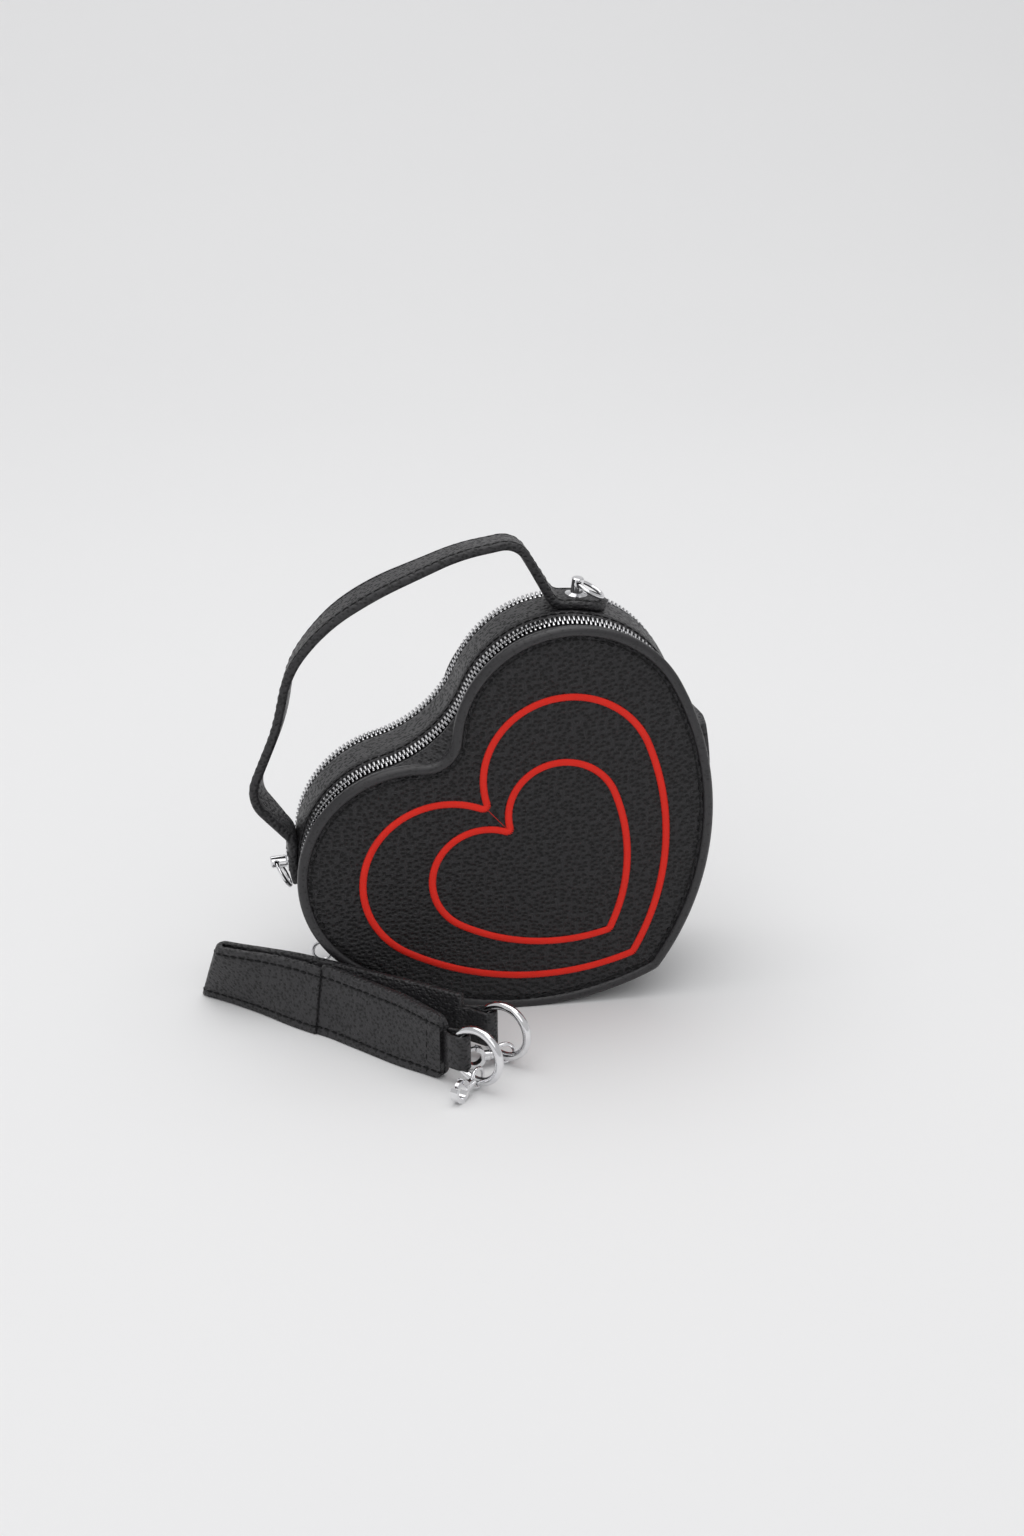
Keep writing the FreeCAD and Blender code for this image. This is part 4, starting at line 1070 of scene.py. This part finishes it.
# %% End loops
RING_R, RING_WIRE_R, RING_HEIGHT = 12.0, 1.9, 16.1
RING_CLEAR = 0.5
TAB_WIDTH = 16.0
SLOT_HALF = RING_WIRE_R + RING_CLEAR
SLOT_FAR = RING_R + RING_WIRE_R + RING_CLEAR - SLOT_HALF
SLOT_NEAR = math.sqrt((RING_R - RING_WIRE_R) ** 2 - (TAB_WIDTH / 2) ** 2) - RING_CLEAR + SLOT_HALF
LOOP_WALL, LOOP_ROUND, LOOP_STEP = 1.5, 0.55, 0.7
NOSE_SHARE = 0.98
ROOT_IN, ROOT_HALF = 3.0, 0.95
NECK_RUN, NECK_HALF, NECK_R = 5.0, 1.3, 6.0
HEEL_R = 4.0
for side, start, loop_at, ring_deg in (("near", NEAR_RUN[0], (-20.4, -103.5), -44.0),
                                       ("far", FAR_RUN[-1], (-6.0, -82.7), -42.0)):
    ring_at = polar(loop_at, (SLOT_NEAR + SLOT_FAR) / 2, ring_deg)
    nose, heel = (np.array(polar(ring_at, -d, ring_deg)) for d in (SLOT_NEAR, SLOT_FAR))
    start = np.array(start)
    back_way = (start - heel) / np.hypot(*(start - heel))
    radius = SLOT_HALF + LOOP_WALL / 2
    ahead = np.array(polar((0, 0), 1, ring_deg))
    left = np.array((-ahead[1], ahead[0]))
    back_left = np.array((back_way[1], -back_way[0]))
    root, neck = start + back_way * ROOT_IN, heel + back_way * NECK_RUN
    line = [(*(root + back_left * ROOT_HALF), 0), (*(neck + back_left * NECK_HALF), NECK_R),
            (*(heel + left * radius), HEEL_R), (*(nose + (left + ahead) * radius), radius * NOSE_SHARE),
            (*(nose + (ahead - left) * radius), radius * NOSE_SHARE), (*(heel - left * radius), HEEL_R),
            (*(neck - back_left * NECK_HALF), NECK_R), (*(root - back_left * ROOT_HALF), 0)]
    low = RING_HEIGHT - TAB_WIDTH / 2
    outline = section(low, low + TAB_WIDTH, -LOOP_WALL / 2, LOOP_WALL / 2, LOOP_ROUND, steps=3, spread=8)
    rings = [[((x - ty * a + STRAP_SHIFT[0]) * MM, (y + tx * a + STRAP_SHIFT[1]) * MM, up * MM)
              for up, a in outline] for x, y, tx, ty in rounded_line(line, LOOP_STEP)]
    piece_from(side + "_leather_loop", *swept(rings), TRIM_LEATHER, [side + "_end_loop"], "strap")

# %% [markdown]
# ## Seams
# The stitches are the same black thread all over: a short bow that lies in a furrow. A dashed line in the
# material would be simpler, but real stitches catch the light. Each seam is one line, on the face of a
# panel, a strip, the handle or the strap, and the tree sets the stitches along it.

# %% Stitches
STITCH_PITCH = 3.9
STITCH_LENGTH, STITCH_R, STITCH_BOW = 3.1, 0.4, 0.18
SEAM_INSET = 6.1
PANEL_SINK, STRIP_SINK, STRAP_SINK, CROSS_SINK = 0.02, 0.2, 0.16, 0.1
CROSS_ROW = 8
stitch = bar_piece("stitch", "X", STITCH_LENGTH, STITCH_R, STITCH_BOW, 6, 6)


def seam(points, normals, closed):
    ends = list(points) + ([points[0]] if closed else [])
    length = sum((Vector(a) - Vector(b)).length for a, b in zip(ends, ends[1:])) / MM
    return points, normals, closed, max(2, int(length / STITCH_PITCH))


bag_seams = []
for side, way in SIDES:
    points = np.array([inset(row, SEAM_INSET) for row in LOOP])
    bag_seams.append(seam(on_panel(points, way, -PANEL_SINK), [(0.0, way, 0.0)] * len(points), True))
    normals = [direction(*row[2:]) for row in GUSSET_TOP]
    for y in (SLOT_OUTER + HEM, SLOT_INNER - HEM):
        sunk = GUSSET_IN - pressed(y, GUSSET_T - STRIP_SINK)
        bag_seams.append(seam([place(*inset(row, sunk), way * y) for row in GUSSET_TOP], normals, False))
sewn = (handle_run > TAB_ROUND) & (handle_run < handle_run[-1] - TAB_ROUND)
for y in (HANDLE_WIDTH / 2 - HANDLE_SEAM, HANDLE_SEAM - HANDLE_WIDTH / 2):
    up = HANDLE_T / 2 - STRAP_SINK
    points = [on_handle(row, along, y, up) for row, along in zip(HANDLE[sewn], handle_run[sewn])]
    bag_seams.append(seam(points, [direction(tv, -tu) for u, v, tu, tv in HANDLE[sewn]], False))
along_lines("bag_stitching", bag_seams, stitch, BLACK_THREAD)

strap_seams = []
for up in seams:
    for part_rows, face in ((facing_rows, STRAP_T / 2 + FACING_T), (~facing_rows, STRAP_T / 2)):
        rows, run = STRAP[part_rows], strap_run[part_rows]
        points = [on_strap(row, along, face - STRAP_SINK, up) for row, along in zip(rows, run)]
        strap_seams.append(seam(points[1:-1], [(-row[3], row[2], 0.0) for row in rows[1:-1]], False))
across = STRAP_T / 2 + FACING_T - CROSS_SINK
cross_row, cross_run = STRAP[CROSS_ROW], strap_run[CROSS_ROW]
points = [on_strap(cross_row, cross_run, across, up) for up in np.linspace(seams[0], seams[1], 12)]
strap_seams.append(seam(points, [(-cross_row[3], cross_row[2], 0.0)] * len(points), False))
along_lines("strap_stitching", strap_seams, stitch, BLACK_THREAD, body="strap")
bpy.data.objects.remove(stitch)

# %% [markdown]
# ## Metal and divider from the frame
# Posts with their screws and washers, rings, sliders, zip stops, pulls and clasps are rigid and already
# have their shape. They could be made again, but nothing would be gained, so they stay and only get the
# nickel finish. The divider between the compartments stays too and gets the woven lining.

# %% Finishes on frame pieces
for name, node in NODES.items():
    if node.hide_render:
        continue
    inner = name == "divider"
    node.data.materials.clear()
    node.data.materials.append(LINING if inner else NICKEL)
    node.data.polygons.foreach_set("use_smooth", [not inner] * len(node.data.polygons))
print("kept", sorted(n for n, o in NODES.items() if not o.hide_render))

# %% [markdown]
# ## Studio
# The floor runs into a backdrop in one pale sweep, as paper does in a studio. A flat floor would show a
# horizon behind the bag. One large soft lamp hangs above and one stands in front, and the pale world fills
# the shadows, which are faint in the photograph. The camera is fitted to the photograph's view.

# %% Floor, lights and camera
PAPER, PAPER_CLOUD = (0.80, 0.80, 0.805, 1), (0.82, 0.82, 0.82, 1)
SWEEP_NEAR, SWEEP_FROM, SWEEP_R = -3.0, 0.9, 1.2
SWEEP_TOP, SWEEP_HALF = 4.0, 4.0
WORLD_COLOUR, WORLD_STRENGTH = (0.9, 0.9, 0.91, 1), 0.6
paper = Finish("studio_paper", roughness=0.9)
paper.feed(base_color=paper.colours(paper.noise(paper.coords(), 3.0, 1.0), PAPER, PAPER_CLOUD))
bend = [(SWEEP_FROM + SWEEP_R * math.sin(a), SWEEP_R - SWEEP_R * math.cos(a))
        for a in np.linspace(0.1, math.pi / 2, 14)]
profile = [(SWEEP_NEAR, 0), (SWEEP_FROM, 0), *bend, (SWEEP_FROM + SWEEP_R, SWEEP_TOP)]
mesh = bpy.data.meshes.new("studio_sweep")
faces = [(2 * k, 2 * k + 1, 2 * k + 3, 2 * k + 2) for k in range(len(profile) - 1)]
mesh.from_pydata([(x, y, z) for y, z in profile for x in (-SWEEP_HALF, SWEEP_HALF)], [], faces)
mesh.polygons.foreach_set("use_smooth", [True] * len(mesh.polygons))
mesh.materials.append(paper.material)
sweep = linked("studio_sweep", mesh)
sweep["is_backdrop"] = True


def soft_lamp(name, spot, aim, size, power):
    lamp = bpy.data.lights.new(name, "AREA")
    lamp.shape, lamp.size, lamp.energy = "DISK", size, power
    obj = linked(name, lamp)
    obj.location = spot
    obj.rotation_mode = "QUATERNION"
    obj.rotation_quaternion = (Vector(aim) - Vector(spot)).to_track_quat("-Z", "Y")


soft_lamp("top_softbox", (0.0, 0.25, 1.7), (0.02, 0.05, 0.08), 2.2, 18)
soft_lamp("front_softbox", (-0.3, -1.6, 1.5), (0.02, 0.0, 0.08), 1.8, 7)
world = bpy.data.worlds.new("studio")
world.use_nodes = True
world.node_tree.nodes["Background"].inputs["Color"].default_value = WORLD_COLOUR
world.node_tree.nodes["Background"].inputs["Strength"].default_value = WORLD_STRENGTH
bpy.context.scene.world = world
bpy.context.scene.view_settings.view_transform = "Standard"

AZIMUTH, ELEVATION, ROLL = (math.radians(d) for d in (-7.431, 23.335, -0.897))
DISTANCE = 1.5894
AIM = Vector((ORIGIN.x + 0.013494, ORIGIN.y - 0.037503, 0.118011))
back = Vector((math.sin(AZIMUTH) * math.cos(ELEVATION), -math.cos(AZIMUTH) * math.cos(ELEVATION),
               math.sin(ELEVATION)))
flat_right = Vector((math.cos(AZIMUTH), math.sin(AZIMUTH), 0))
flat_up = back.cross(flat_right)
right = flat_right * math.cos(ROLL) + flat_up * math.sin(ROLL)
camera = bpy.data.cameras.new("photo_camera")
camera.lens, camera.sensor_width = 85.0, 36.0
seer = linked("photo_camera", camera)
up = back.cross(right)
seer.matrix_world = [(right.x, right.y, right.z, 0), (up.x, up.y, up.z, 0), (back.x, back.y, back.z, 0),
                     (*(AIM + back * DISTANCE), 1)]
bpy.context.scene.camera = seer
print("camera", [round(c, 4) for c in seer.location])

# %% [markdown]
# ## Size
# The dressed bag's box is measured over every shown piece but the backdrop, and printed. The dressed
# bag may stand only a little outside the frame's box.

# %% Measure the size
low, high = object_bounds()
print("visual box", [round(c, 4) for c in (*low, *high)])
